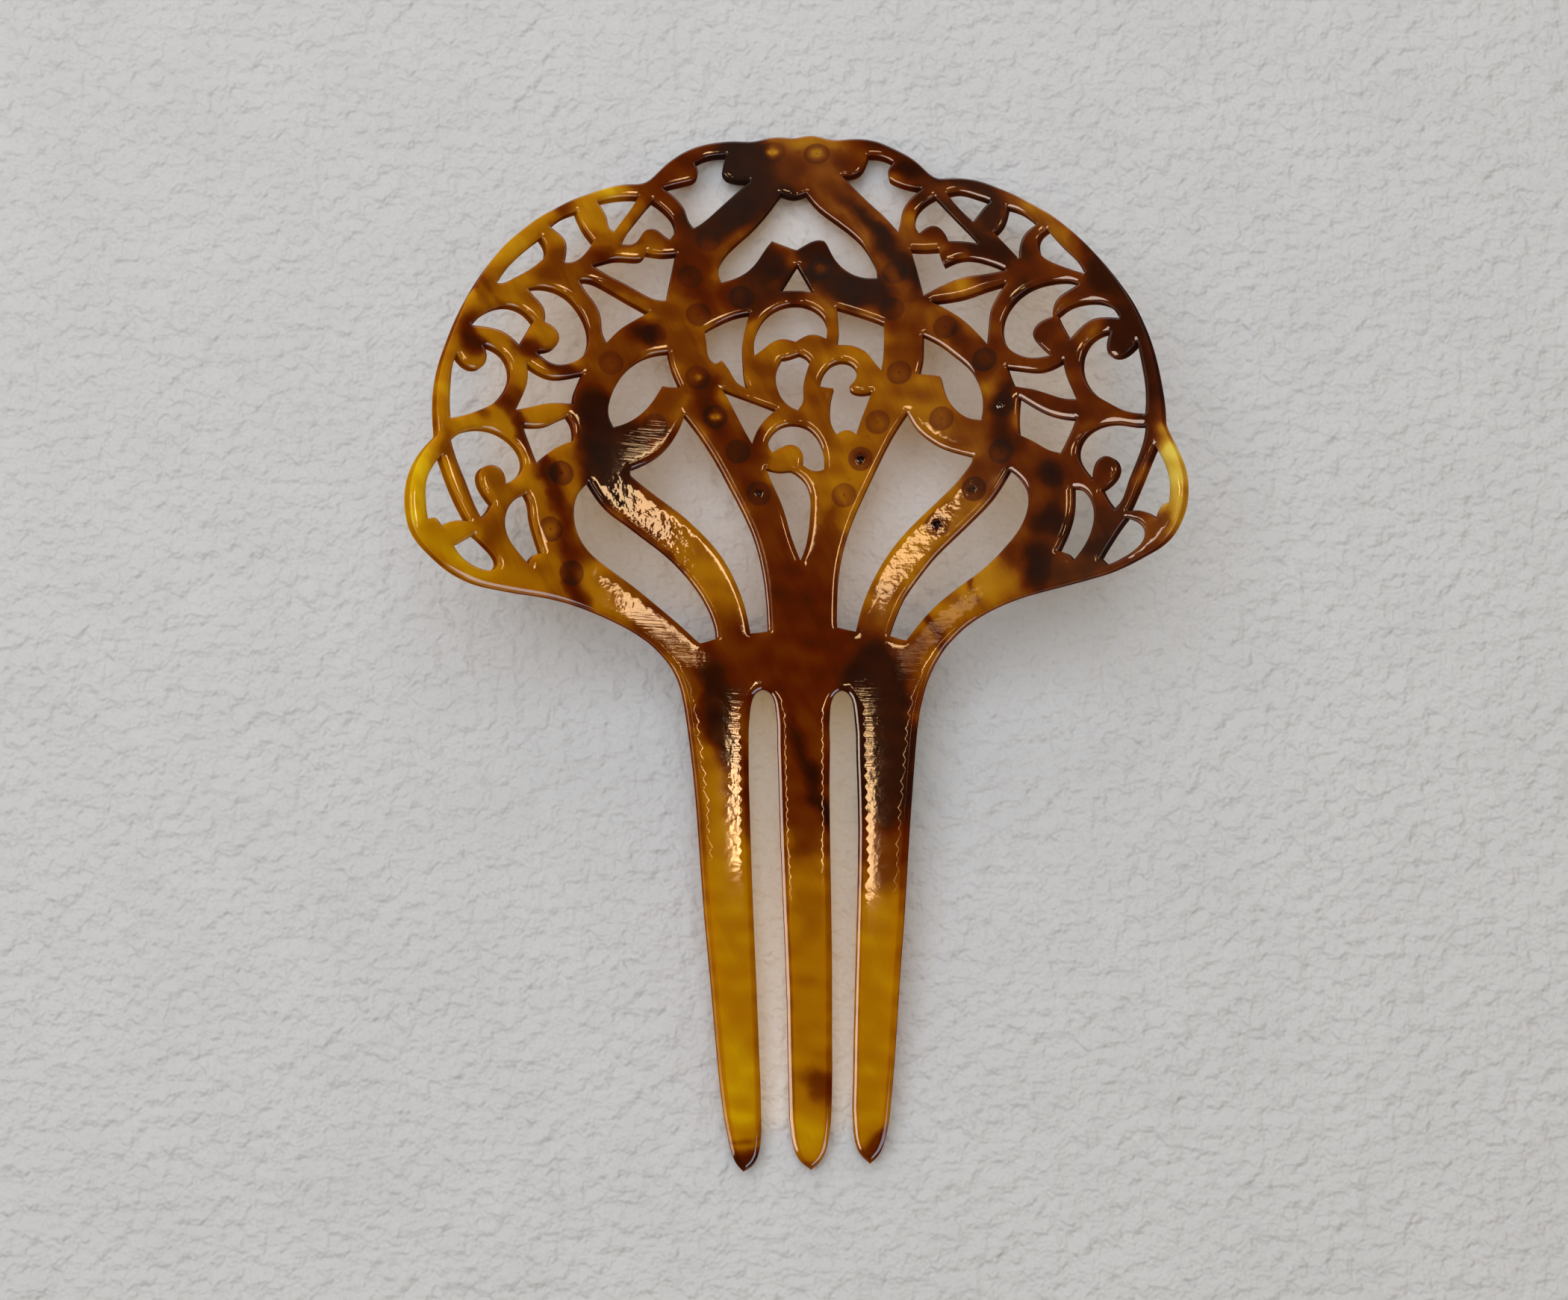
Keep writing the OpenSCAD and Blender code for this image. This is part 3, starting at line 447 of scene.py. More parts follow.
def pitRings(stone, hole, rim, upper, count):
    # Rings down the cone from the rim in front, numbered from count: the radius goes evenly from
    # the mouth's to the tip's. A point closes it, or faces go out to the drill hole's upper points
    sides = body["pitSides"]
    turn = np.arange(sides)
    tip = max(body["pitTip"], hole[2]) if hole else body["pitTip"]
    share = (body["pitWide"] - tip) / (body["pitWide"] - body["pitTip"])
    tipHigh = body["pitMouth"] + (body["pitBottom"] - body["pitMouth"]) * share
    rows, faces = [], []
    for t in (0.0, 0.5, 1.0):
        radius = body["pitWide"] + (tip - body["pitWide"]) * t
        high = body["pitMouth"] + (tipHigh - body["pitMouth"]) * t
        rows.append(np.column_stack([circle(stone, radius, sides), np.full(sides, high)]))
        ring = count + turn
        count += sides
        a, b, c, d = rim, np.roll(rim, -1), ring, np.roll(ring, -1)
        faces += [np.stack([a, b, c], -1), np.stack([b, d, c], -1)]
        rim = ring
    after = np.roll(rim, -1)
    if hole:
        pick = upper[turn * len(upper) // sides % len(upper)]
        pickNext = upper[(turn + 1) * len(upper) // sides % len(upper)]
        faces.append(np.stack([rim, after, pick], -1))
        faces.append(np.stack([after, pickNext, pick], -1)[pick != pickNext])
    else:
        rows.append([[*stone, tipHigh + body["pitPoint"]]])
        faces.append(np.stack([rim, after, np.full(sides, count)], -1))
    return np.vstack(rows), faces


def combBody(loops, drilled, stones):
    # Back and front share the outline's points; walls of three rows join them, and pits go in
    rng = np.random.default_rng(7)
    sides, drillSides = body["pitSides"], body["drillSides"]
    smallHoles = [circle(hole[:2], hole[2], drillSides) for hole in drilled]
    points, corners, away, sawn = oneFace(loops, smallHoles, backEdge, rng)
    wide, deep = backEdge(points[:, 1])
    share = body["crestBevel"] + (1 - body["crestBevel"]) * tineShare(points[:, 1])
    w = -(roundedBy(away, wide, deep) * (1 - share) + bevelledBy(away, wide, deep) * share)
    flats, faces, edgeAway = [np.column_stack([points, w])], [corners], [away]
    front = len(points)
    mouths = [circle(stone, body["pitWide"], sides) for stone in stones]
    points, corners, away, _ = oneFace(loops, mouths, frontEdge, rng)
    w = -sheet["thick"] + roundedBy(away, *frontEdge(points[:, 1]))
    flats.append(np.column_stack([points, w]))
    faces.append(corners[:, ::-1] + front)
    edgeAway.append(away)
    count = front + len(points)
    # walls, whose distance from the edge is written as below zero
    base, foot = flats[0][:sawn], flats[1][:sawn]
    edges = ringEdges(loops)
    rows = [np.arange(sawn)]
    for share in (0.34, 0.68):
        flats.append(base + (foot - base) * share)
        edgeAway.append(np.full(sawn, -1.0))
        rows.append(count + np.arange(sawn))
        count += sawn
    rows.append(front + np.arange(sawn))
    for upper, lower in zip(rows[:-1], rows[1:]):
        (a, b), (c, d) = upper[edges].T, lower[edges].T
        faces += [np.stack([a, c, b], -1), np.stack([b, c, d], -1)]
    for i, stone in enumerate(stones):
        rim = front + sawn + i * sides + np.arange(sides)
        hole = upper = None
        for j, other in enumerate(drilled):
            if math.dist(other[:2], stone) < body["sameAxis"]:
                hole, upper = other, sawn + j * drillSides + np.arange(drillSides)
        places, made = pitRings(stone, hole, rim, upper, count)
        flats.append(places)
        faces += made
        edgeAway.append(np.full(len(places), field["reach"]))
        count += len(places)
    return np.vstack(flats), np.vstack(faces), np.concatenate(edgeAway)


def meshOf(name, places, faces):
    # Whole arrays into a new mesh, smooth throughout
    made = bpy.data.meshes.new(name)
    made.vertices.add(len(places))
    made.vertices.foreach_set("co", places.astype(np.float32).ravel())
    made.loops.add(faces.size)
    made.loops.foreach_set("vertex_index", faces.astype(np.int32).ravel())
    made.polygons.add(len(faces))
    made.polygons.foreach_set("loop_start", np.arange(len(faces), dtype=np.int32) * 3)
    made.polygons.foreach_set("use_smooth", np.ones(len(faces), bool))
    made.update(calc_edges=True)
    made.validate()
    return made


def placed(name, data):
    # A new object in the scene, at the origin
    made = bpy.data.objects.new(name, data)
    scene.collection.objects.link(made)
    return made


def keep(mesh, name, values):
    # A number or a vector at each vertex, for the material to read
    kind = "FLOAT" if values.ndim == 1 else "FLOAT_VECTOR"
    part = "value" if values.ndim == 1 else "vector"
    mesh.attributes.new(name, kind, "POINT").data.foreach_set(part, values.astype(np.float32).ravel())


# The cloudy colouring, painted on the flat sheet: each stroke is an ellipse
# (u, v, half length, half width, degrees from the u axis, tint), later ones over earlier ones.
# Tint runs from 0, clear yellow, by 0.3, amber, and 0.6, red brown, to 1, nearly black
clouds = [
    # crest, left outside to middle
    (-46, 104, 9, 12, 70, 0.24), (-38, 134, 13, 3, 48, 0.18), (-31, 141, 2.4, 1.8, 45, 0.56),
    (-25.5, 143.5, 3.2, 2.2, 30, 0.12), (-16, 148, 7, 4.5, 38, 0.62), (-12.5, 146.8, 2.2, 1.2, 10, 0.5),
    (-38, 128.4, 7, 3, 30, 0.3), (-31.6, 131.4, 5, 2.4, 35, 0.46), (-27.5, 139, 2.4, 2.6, 60, 0.22),
    (-28, 135.4, 2, 2, 60, 0.42), (-25, 132.5, 4.5, 2.2, 35, 0.6), (-33, 135.5, 2.2, 2.6, 90, 0.34),
    (-19.5, 137.6, 2.4, 1.9, 20, 0.52), (-22.5, 133.8, 2.4, 1.2, 10, 0.34), (-16.5, 141, 5, 2.2, -50, 0.55),
    (-24, 128.6, 6.5, 1.3, -28, 0.5), (-28, 125, 5, 2, -60, 0.42), (-43, 127.8, 2.4, 1.4, 45, 0.4),
    (-44.6, 125.4, 3, 0.5, -65, 0.5), (-43, 126, 3, 0.4, -65, 0.48), (-46.4, 120.4, 2, 1.6, 60, 0.74),
    (-45.6, 117.8, 2.2, 2.4, 80, 0.82), (-42, 119, 4, 1.6, -30, 0.3), (-35, 120.6, 2.4, 2, 0, 0.28),
    (-37.6, 118, 1.6, 2.8, 80, 0.66), (-34, 115.8, 3.6, 1.2, -25, 0.72), (-39, 114, 2, 4, 80, 0.28),
    (-41, 112, 1.6, 1.6, 0, 0.5), (-41.6, 110, 1.8, 1.2, 20, 0.78), (-39.4, 106, 5.6, 1, -66, 0.72),
    (-35.5, 109.4, 3.4, 1.4, 5, 0.28), (-47, 107.4, 4.2, 1.4, 20, 0.26), (-45.4, 107.4, 0.9, 1.5, 0, 0.44),
    (-50.2, 102.4, 3.4, 1.2, -65, 0.48), (-43.6, 100.2, 2.6, 2.3, 0, 0.4), (-55, 97, 3, 7, 0, 0.07),
    (-48, 88, 7, 3, -28, 0.16), (-50.5, 92.2, 3.4, 1.4, 10, 0.26), (-47.6, 97, 5.2, 1.3, -62, 0.5),
    (-43.4, 90.4, 2, 4, 25, 0.44), (-41, 95.6, 2.2, 3, 60, 0.44), (-37.6, 86.8, 5, 2.8, -20, 0.32),
    (-32, 97, 4.4, 8, 15, 0.32), (-31, 88.4, 2.6, 3, 0, 0.46), (-28, 84, 3.2, 3, 35, 0.24),
    (-35.3, 99.2, 5.6, 0.8, -69, 0.72), (-33.2, 91, 5, 0.9, -74, 0.66), (-31.6, 84, 4, 0.9, -68, 0.68),
    # left ring, node and lens
    (-24, 118.5, 5.5, 3.2, 40, 0.5), (-29.4, 120, 1.6, 5, 0, 0.46), (-20.4, 121.4, 3, 1.7, 25, 0.86),
    (-27, 113.6, 4, 2.4, 60, 0.45), (-28.6, 109, 3.2, 4.6, 25, 0.88), (-27, 103, 3.8, 4.8, 0, 0.95),
    (-21, 105.6, 5, 3.6, 25, 0.62), (-23.6, 104.6, 2.2, 3.6, 20, 0.86), (-26, 98.6, 3.2, 2.6, 0, 0.92),
    (-25.8, 96.8, 6.5, 1.4, -40, 0.84), (-19.6, 94.6, 6.2, 2.6, -42, 0.46),
    (-13.4, 88.6, 8.5, 2.7, -58, 0.3), (-20.6, 89.8, 5, 0.8, -45, 0.6), (-24, 83.6, 5, 3, -40, 0.4),
    (-19.6, 78.6, 5, 3, -35, 0.52), (-11, 80.4, 2.2, 3.2, 0, 0.42),
    # left bar, ribbon and horns
    (-6, 150, 4.6, 5.4, 0, 0.94), (-7.8, 142.4, 9.4, 3.8, 45, 0.94), (-8.6, 148.6, 2.8, 2.4, 0, 0.93),
    (-3.4, 147.6, 2.6, 2.6, 0, 0.9), (-12.6, 137.6, 3, 3.6, 45, 0.74), (-14.6, 131.6, 3.6, 5.4, 0, 0.6),
    (-15.2, 121, 3.6, 7.5, 10, 0.47), (-10.6, 130, 1.5, 4.5, 12, 0.4), (-15.2, 133, 1.4, 3.6, -10, 0.68),
    (-12.6, 126.4, 1.2, 4.6, 14, 0.66), (-17, 124, 2.6, 3, 30, 0.44), (-4.6, 132, 3.4, 4.4, -25, 0.86),
    (-8.4, 127.6, 3.6, 2.2, 30, 0.64), (-4.6, 126.6, 4.6, 1.4, 20, 0.72), (-11.4, 120, 2.2, 4.2, 25, 0.38),
    (-18.6, 112, 2.2, 2.6, 0, 0.5), (-13, 112.8, 2.2, 3.4, 20, 0.72), (-9.2, 105, 3, 5.4, 20, 0.6),
    (-6, 98, 2.8, 6, 20, 0.58), (-3.4, 89, 2.8, 6, 15, 0.6), (-4.6, 113, 3.4, 6, 10, 0.42),
    (-12.4, 109, 2, 2.6, 20, 0.72), (-6.4, 104.6, 1.6, 2.4, 20, 0.7),
    # top and right bar
    (2, 150.4, 4.8, 4.6, 0, 0.5), (2.4, 152.8, 5, 1.6, 0, 0.3), (0.6, 146, 3, 2.4, 0, 0.66),
    (0, 143.8, 2.6, 1.1, 0, 0.94), (8, 149.4, 2.6, 3.4, 0, 0.56), (5.6, 152.4, 2, 1.6, 0, 0.3),
    (7.2, 147, 1.4, 2.4, 20, 0.58), (14, 150.4, 7, 2, -38, 0.7), (15.6, 146, 2.8, 1.8, -20, 0.92),
    (19.4, 144.8, 2.4, 1.6, 0, 0.62), (9.6, 137, 14, 3.8, -56, 0.53), (7.6, 138.6, 8.6, 0.8, -56, 0.4),
    (11, 140, 4.4, 0.8, -55, 0.45), (10.6, 138.2, 6.4, 1, -53, 0.88), (15.4, 131.6, 5, 1.5, -54, 0.88),
    (4.8, 147, 3.4, 1.2, -60, 0.44), (13.6, 124, 1.3, 3.4, 15, 0.7), (15.4, 125.2, 5, 1.8, -62, 0.38),
    (17.6, 119.6, 1.3, 2.6, -80, 0.42), (18.6, 127.4, 1.6, 2.2, 0, 0.84), (3.6, 134.4, 3, 3.6, 25, 0.88),
    (8, 128.2, 6.2, 3, -28, 0.9), (0.4, 129, 2.6, 3.2, 0, 0.84), (3.6, 131.6, 0.9, 0.9, 0, 0.6),
    (15.4, 118.8, 3.2, 4.6, 0, 0.47), (17.2, 119, 0.8, 2.8, 0, 0.56),
    # right outside
    (16.2, 139.6, 1.8, 3.4, 0, 0.34), (17.6, 142.8, 2, 1.3, 40, 0.74), (18.8, 137, 2.2, 2.2, 0, 0.62),
    (17.6, 134.2, 2.6, 1.2, 0, 0.42), (22, 142, 3.2, 1.4, -40, 0.38), (25.4, 143.4, 8, 1.9, -28, 0.78),
    (27.4, 139.6, 2.8, 3.2, 30, 0.76), (23, 138.8, 5.4, 1.4, -52, 0.72), (35, 136, 8.5, 1.9, -45, 0.31),
    (32.4, 133.4, 2.4, 3.4, 30, 0.56), (27.4, 132.6, 7.4, 2.4, -28, 0.8), (21.4, 131.8, 2.4, 1.2, 40, 0.66),
    (24, 127.8, 5.6, 1.8, 5, 0.4), (22.4, 127.6, 1.8, 1.2, 0, 0.28), (27.4, 128.2, 1.6, 1.2, 0, 0.64),
    (34, 127.6, 5, 2.4, -10, 0.58), (38, 127.6, 2.6, 1.4, 0, 0.5), (46, 122, 13, 2.8, -64, 0.82),
    (50.6, 107, 7, 2.2, -82, 0.78), (29, 120.6, 1.8, 6.4, 0, 0.48), (31, 125.8, 2.4, 1.6, 30, 0.76),
    (33.6, 115.6, 4.6, 1.5, 0, 0.5), (35, 119.4, 2.4, 2.4, 0, 0.66), (41.4, 123.6, 4.6, 1.4, -15, 0.6),
    (37.4, 123.2, 1.4, 1.2, 0, 0.48), (38.8, 115.6, 2.4, 3.4, 0, 0.66), (46, 117, 2.4, 2.6, 40, 0.78),
    (41.4, 119.8, 3.4, 1.6, 30, 0.46), (44, 109, 5.6, 3.4, -35, 0.6), (40.4, 107.6, 2.8, 2.2, -20, 0.58),
    (39.8, 100, 2, 5, 0, 0.62), (35, 109.4, 4.8, 1.8, -25, 0.66), (45, 104.6, 4.2, 1, 5, 0.46),
    (43.6, 98.6, 2.5, 2.5, 0, 0.66), (48.4, 98.4, 5.6, 1.5, 62, 0.68), (53.4, 96.6, 2.6, 7.5, 0, 0.03),
    (51.8, 90.6, 2.6, 1.2, 55, 0.46), (49.4, 92.4, 1.8, 1.2, 0, 0.36), (42.6, 90.4, 7, 4.4, 30, 0.7),
    (48.6, 88.4, 2, 1.6, 30, 0.42), (47, 85.8, 5.6, 1.2, 14, 0.52), (39, 85.2, 4, 2.2, 10, 0.58),
    (43.6, 86.6, 2.6, 1.6, 10, 0.84), (39.4, 85.2, 3, 1.2, 10, 0.64), (42.8, 91, 1.6, 1.6, 0, 0.62),
    # right ring, nodes and petal
    (20.6, 121, 2.2, 2, -30, 0.42), (23.2, 119.4, 1.4, 2.8, 40, 0.68), (26, 116.4, 2.8, 3.2, 0, 0.6),
    (23.6, 106.8, 3.6, 3.2, -25, 0.44), (19.4, 107.4, 2.4, 2.2, 0, 0.3), (29.2, 108.6, 1.5, 5.2, -8, 0.8),
    (30.6, 102, 2.2, 4.6, 30, 0.74), (34.6, 96.6, 4.4, 7.6, 0, 0.53), (34.4, 94.8, 1.2, 3.2, 20, 0.46),
    (36, 98.3, 2.1, 2.1, 0, 0.92), (35.8, 91.7, 2.2, 2.2, 0, 0.88), (33.6, 85.6, 2.2, 3.2, 0, 0.9),
    (31.4, 90.4, 1.4, 2, 0, 0.44), (25.2, 84.8, 5, 3.2, 25, 0.2), (29.6, 87.8, 1.8, 2.2, 30, 0.62),
    (24.2, 83.6, 2.6, 0.45, -65, 0.52), (18.6, 79.4, 4.6, 2.4, 40, 0.3), (19.2, 77.6, 2.8, 0.6, -55, 0.66),
    (15.6, 75.4, 2.6, 1.6, 40, 0.46), (17, 92.6, 9.5, 3.2, 54, 0.24), (26.6, 99.4, 2.6, 3.6, -40, 0.52),
    (20, 93.6, 2, 2.4, 0, 0.4), (11, 81.6, 2, 3.6, -30, 0.4),
    # middle ornament and body
    (3, 122, 6, 4, 0, 0.4), (8.6, 117, 5, 4.6, 0, 0.32), (11, 108, 4, 8, -15, 0.36),
    (2, 110, 3.4, 8, 0, 0.41), (-1, 103, 4, 4, 0, 0.33), (7, 99, 3, 5, -15, 0.3),
    (0.6, 80, 5.6, 12, 0, 0.66), (4.2, 89, 1.6, 5.6, -8, 0.52), (0.8, 88.5, 2.2, 3.4, 0, 0.57),
    (-4.4, 90.5, 1.6, 4, 15, 0.53), (-1, 70, 13, 5.6, 0, 0.64), (-12, 68, 2.8, 8, 10, 0.88),
    (-15.9, 66, 1, 8, 0, 0.46), (-15.6, 74.6, 2.2, 1.8, -45, 0.5), (10.6, 69, 4.4, 8.4, 8, 0.92),
    (12.2, 70, 3, 4.6, 14, 0.86), (15.2, 67, 1, 7, -2, 0.5), (7.4, 77.8, 2, 1.4, 0, 0.72),
    (-4, 74, 4, 3, 0, 0.58), (-8.6, 77.4, 2.8, 2.2, 0, 0.62),
    # tines
    (-11, 24, 5, 36, 0, 0.23), (-11, 63.6, 2.1, 6.4, 14, 0.88), (-14.2, 54, 1.6, 9, 4, 0.36),
    # the thin stroke at u -7.6, v 57 is painted shade on the left tine's inner bevel
    (-9.6, 54, 1.3, 5, 10, 0.46), (-7.6, 57, 0.8, 6, 0, 0.62), (-9, 14, 4, 6, 0, 0.15),
    (-8, 6.4, 2.2, 0.3, 10, 0.5), (-8, 3.2, 2.6, 1.6, 10, 0.78), (0.4, 24, 4, 22.6, 0, 0.3),
    (0, 60, 4.4, 13, 0, 0.62), (1.2, 57, 8.8, 1.2, -72, 0.86), (-2.6, 49, 1.4, 1.2, 0, 0.36),
    (0.6, 38, 1.6, 4, 0, 0.38), (1.4, 13.6, 2.2, 2.6, 30, 0.58), (0, 6.6, 3, 3.6, 0, 0.17),
    (0.2, 2.2, 1.4, 0.7, 0, 0.4), (9, 24, 5, 21, 0, 0.24), (11, 58.6, 5, 12.6, 0, 0.86),
    (11, 43.4, 3.6, 3, 0, 0.42), (9.4, 47.6, 2.2, 3, 20, 0.56), (12.4, 47.4, 2.2, 4, -30, 0.56),
    (8, 8.6, 3, 4, 0, 0.22), (8.6, 3.8, 1.5, 1.2, 20, 0.66), (9.4, 5.4, 0.9, 0.9, 0, 0.6),
]
# Where the dark is a cool grey purple and not a red brown: the same ellipses, with a share
coolPlaces = [
    (0, 122, 62, 40, 0, 0.15), (38, 116, 22, 36, 0, 0.4), (-5, 148, 5, 7, 40, 1), (-8, 142, 7, 4, 45, 0.9),
    (-4, 131, 4, 5, 0, 0.5), (8, 129, 7, 4, -25, 0.9), (14, 134, 8, 3, -60, 0.6), (26, 140, 8, 4, -30, 0.8),
    (42, 88, 8, 5, 20, 0.8), (-27, 102, 3, 5, 0, 0.6), (36, 94, 3, 7, 0, 0.5), (11, 66, 5, 12, 0, 0.3),
    (39.4, 85.2, 4, 2, 10, 1), (50, 108, 4, 10, 0, 0.2), (2, 150, 5, 4, 0, 0.8), (27, 100, 3, 4, 0, 0.6),
    (47, 120, 12, 3, -64, 0.3), (53.4, 97, 3, 8, 0, 0.9), (26, 85, 6, 3, 25, 0.4),
    (9, 140, 10, 3, -58, 0.8),
]
# Where the polish is worn to fine level scratches
scratchedPlaces = [
    (-20.5, 105.6, 5, 3.6, 0, 0.4), (-19, 77.6, 7, 3.8, 0, 1), (15.6, 70.6, 3.2, 7, 0, 0.22),
    (9, 63, 3, 8, 0, 0.5), (17.4, 77.6, 3.6, 3, 0, 0.28), (-9.6, 60, 1.6, 10, 0, 0.25),
    (16, 92, 9, 3, 54, 0.32),
]
# Where the polish is wavy, so that the light in it breaks into patches
wavyPlaces = [
    (-20, 90.6, 10, 3.6, -48, 1), (17, 92.6, 9.5, 3.4, 54, 0.7), (-20, 80.4, 9, 3.4, -38, 0.35),
    (19, 79, 6, 3, 40, 0.2), (22, 84, 3, 2, 30, 0.8), (9, 60, 2, 8, 0, 0.1), (-9, 58, 1.6, 9, 0, 0.2),
]
# Where the bevel is only filed: the outer edges of the outer tines
filedPlaces = [(-13.6, 38, 33, 2, -84, 1), (13.4, 38, 33, 2.1, 85, 1)]
# Painted glints: stones whose foil sparkles through as a bright spot, by number: tint there and radius
stoneGlints = {1: (0.2, 0.8), 2: (0.26, 1), 6: (0.5, 0.6), 17: (0.25, 0.5), 21: (0.1, 0.55)}
painting = {
    "ground": 0.33,            # tint where no stroke lies
    "soft": 0.28,              # mm over which a stroke's rim fades
    "softShare": 0.08,         # and the share of its size that is added
    "swell": (0.55, 7.0),      # mm by which ripples shift the strokes, and mm across a ripple
    "shake": (0.2, 2.6),
    "mottle": (0.03, 4.0),     # change of tint, and mm across
    "deeperAt": (-52, -36, 0, 20),  # places across the crest, and how much deeper half tints are there
    "deeper": (-0.02, 0.045, 0.05, 0.08),
    "drillRim": 0.35,          # mm of dark round a drill hole
    "spotFull": 1.4,           # over 1, so that a painted glint's middle is flat
    "stoneClear": (0.5, 1.0),  # least and most of a stone that shows, by chance
    "stoneFade": (0.45, 0.2),  # tint's distance from black under which it shows less, and the least
    "stoneReach": 2.3,         # mm round its middle
}


def ripple(u, v, size, seed):
    # Smooth unevenness: a sum of seven waves of about that size in millimetres, in seeded directions
    draw = np.random.default_rng(seed)
    total = np.zeros(len(u))
    for angle, phase, stretch in draw.uniform((0, 0, 0.7), (np.pi, 2 * np.pi, 1.5), (7, 3)):
        total += np.sin(2 * np.pi * (u * math.cos(angle) + v * math.sin(angle)) / (size * stretch) + phase)
    return total / 2.6  # so that most of it lies within 1


def painted(u, v, strokes, start, soft):
    # Each ellipse draws the value towards its own, fully inside and fading over its rim
    value = np.full(len(u), start)
    for at, up, long, wide, turned, aim in strokes:
        a = math.radians(turned)
        x = (u - at) * math.cos(a) + (v - up) * math.sin(a)
        y = (v - up) * math.cos(a) - (u - at) * math.sin(a)
        r = np.sqrt((x / long) ** 2 + (y / wide) ** 2)
        rim = soft / math.sqrt(long * wide) + painting["softShare"]
        value += (aim - value) / (1 + np.exp(np.clip((r - 1) / rim, -30, 30)))
    return value


def spot(u, v, middle, wide):
    # 1 in the middle, falling away as a bell that wide
    return np.exp(-((u - middle[0]) ** 2 + (v - middle[1]) ** 2) / wide ** 2)


def paintedOn(mesh, flat):
    # Colour, with painted glints over some stones, and wear at each vertex; the colour is read where the
    # sheet's ripples carry it
    at, up = flat[:, 0], flat[:, 1]
    (swell, swellSize), (shake, shakeSize) = painting["swell"], painting["shake"]
    mottle, mottleSize = painting["mottle"]
    u = at + swell * ripple(at, up, swellSize, 3) + shake * ripple(at, up, shakeSize, 5)
    v = up + swell * ripple(at, up, swellSize, 4) + shake * ripple(at, up, shakeSize, 6)
    tint = painted(u, v, clouds, painting["ground"], painting["soft"])
    tint += mottle * ripple(at, up, mottleSize, 8)
    deeper = np.interp(u, painting["deeperAt"], painting["deeper"])
    tint += deeper * (1 - tineShare(v)) * np.sin(np.pi * np.clip(tint, 0, 1))
    for *middle, radius in drilled:
        tint += (1 - tint) * spot(at, up, middle, radius + painting["drillRim"])
    # painted glint: a lighter spot over each stone whose foil sparkles through
    for number, (aim, wide) in stoneGlints.items():
        near = painting["spotFull"] * spot(at, up, stonePlaces[number - 1], wide)
        tint += (aim - tint) * np.clip(near, 0, 1)
    keep(mesh, "tint", np.clip(tint, 0, 1))
    keep(mesh, "cool", painted(u, v, coolPlaces, 0.0, 0.8))
    keep(mesh, "scratched", painted(at, up, scratchedPlaces, 0.0, 0.6))
    keep(mesh, "wavy", painted(at, up, wavyPlaces, 0.0, 0.5))
    keep(mesh, "filed", painted(at, up, filedPlaces, 0.0, 0.5))


def toStones(flat):
    # Place of each vertex from the nearest stone, and how clearly that stone shows through:
    # by chance, and little where the plastic is dark
    gaps = flat[:, None, :2] - stonePlaces[None]
    nearest = (gaps ** 2).sum(2).argmin(1)
    gaps = gaps[np.arange(len(flat)), nearest]
    dark = painted(*stonePlaces.T, clouds, painting["ground"], painting["soft"])
    chance = np.random.default_rng(11).uniform(*painting["stoneClear"], len(dark))
    fade, least = painting["stoneFade"]
    clear = chance * np.clip((1 - dark) / fade, least, 1)
    show = clear[nearest] * (np.linalg.norm(gaps, axis=1) < painting["stoneReach"])
    return np.column_stack([gaps, show])


stoneNodes = sorted(name for name in frame["nodes"] if name.startswith("stone_"))
stoneMiddles = [(low + high) / 2 for low, high in map(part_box, stoneNodes)]
stonePlaces = flattened(np.array(stoneMiddles))[:, :2]

sawn = sawnLoops(frame["nodes"]["comb"])
lengths = [np.hypot(*strides(loop).T).sum() for loop in sawn]
loops, drilled = [], []
for loop, length in zip(sawn, lengths):
    if length < outline["drillHole"]:
        radius = np.linalg.norm(loop - loop.mean(0), axis=1).mean()
        drilled.append((*loop.mean(0), radius))
    else:
        loops.append(polished(loop))
print("outline:", len(loops), "loops and", len(drilled), "drill holes,", round(sum(lengths)), "mm")

flat, corners, away = combBody(loops, drilled, [tuple(place) for place in stonePlaces])
combMesh = meshOf("combBody", bent(flat), corners)
keep(combMesh, "flat", flat)
keep(combMesh, "away", away)
paintedOn(combMesh, flat)
keep(combMesh, "toStone", toStones(flat))
combPiece = placed("combBody", combMesh)
print("comb body:", len(flat), "points,", len(corners), "triangles")

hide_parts("comb")
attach(combPiece, "root")

# Materials


def colour(code):
    # sRGB hex to linear
    parts = [int(code[i:i + 2], 16) / 255 for i in (1, 3, 5)]
    return tuple(p / 12.92 if p <= 0.04045 else ((p + 0.055) / 1.055) ** 2.4 for p in parts) + (1.0,)


def addNode(tree, kind, inputs=None, stops=(), **settings):
    # One node. An input is a value, a socket, or a node whose first output it takes; stops are
    # a ramp's (place, hex)
    made = tree.nodes.new("ShaderNode" + kind)
    for name, value in settings.items():
        setattr(made, name, value)
    for name, value in (inputs or {}).items():
        if isinstance(value, bpy.types.Node):
            value = value.outputs[0]
        if isinstance(value, bpy.types.NodeSocket):
            tree.links.new(value, made.inputs[name])
        else:
            made.inputs[name].default_value = value
    if stops:
        ramp = made.color_ramp.elements
        ramp.remove(ramp[1])
        ramp[0].position, ramp[0].color = stops[0][0], colour(stops[0][1])
        for at, code in stops[1:]:
            ramp.new(at).color = colour(code)
    return made


def newMaterial(name):
    # A material with no nodes yet, and what adds nodes to it
    made = bpy.data.materials.new(name)
    made.use_nodes = True
    made.node_tree.nodes.clear()
    return made, partial(addNode, made.node_tree)


def inMillimetres(add):
    # The object's own coordinates in millimetres
    own = add("TexCoord").outputs["Object"]
    return add("Mapping", {"Vector": own, "Scale": (1 / mm, 1 / mm, 1 / mm)})
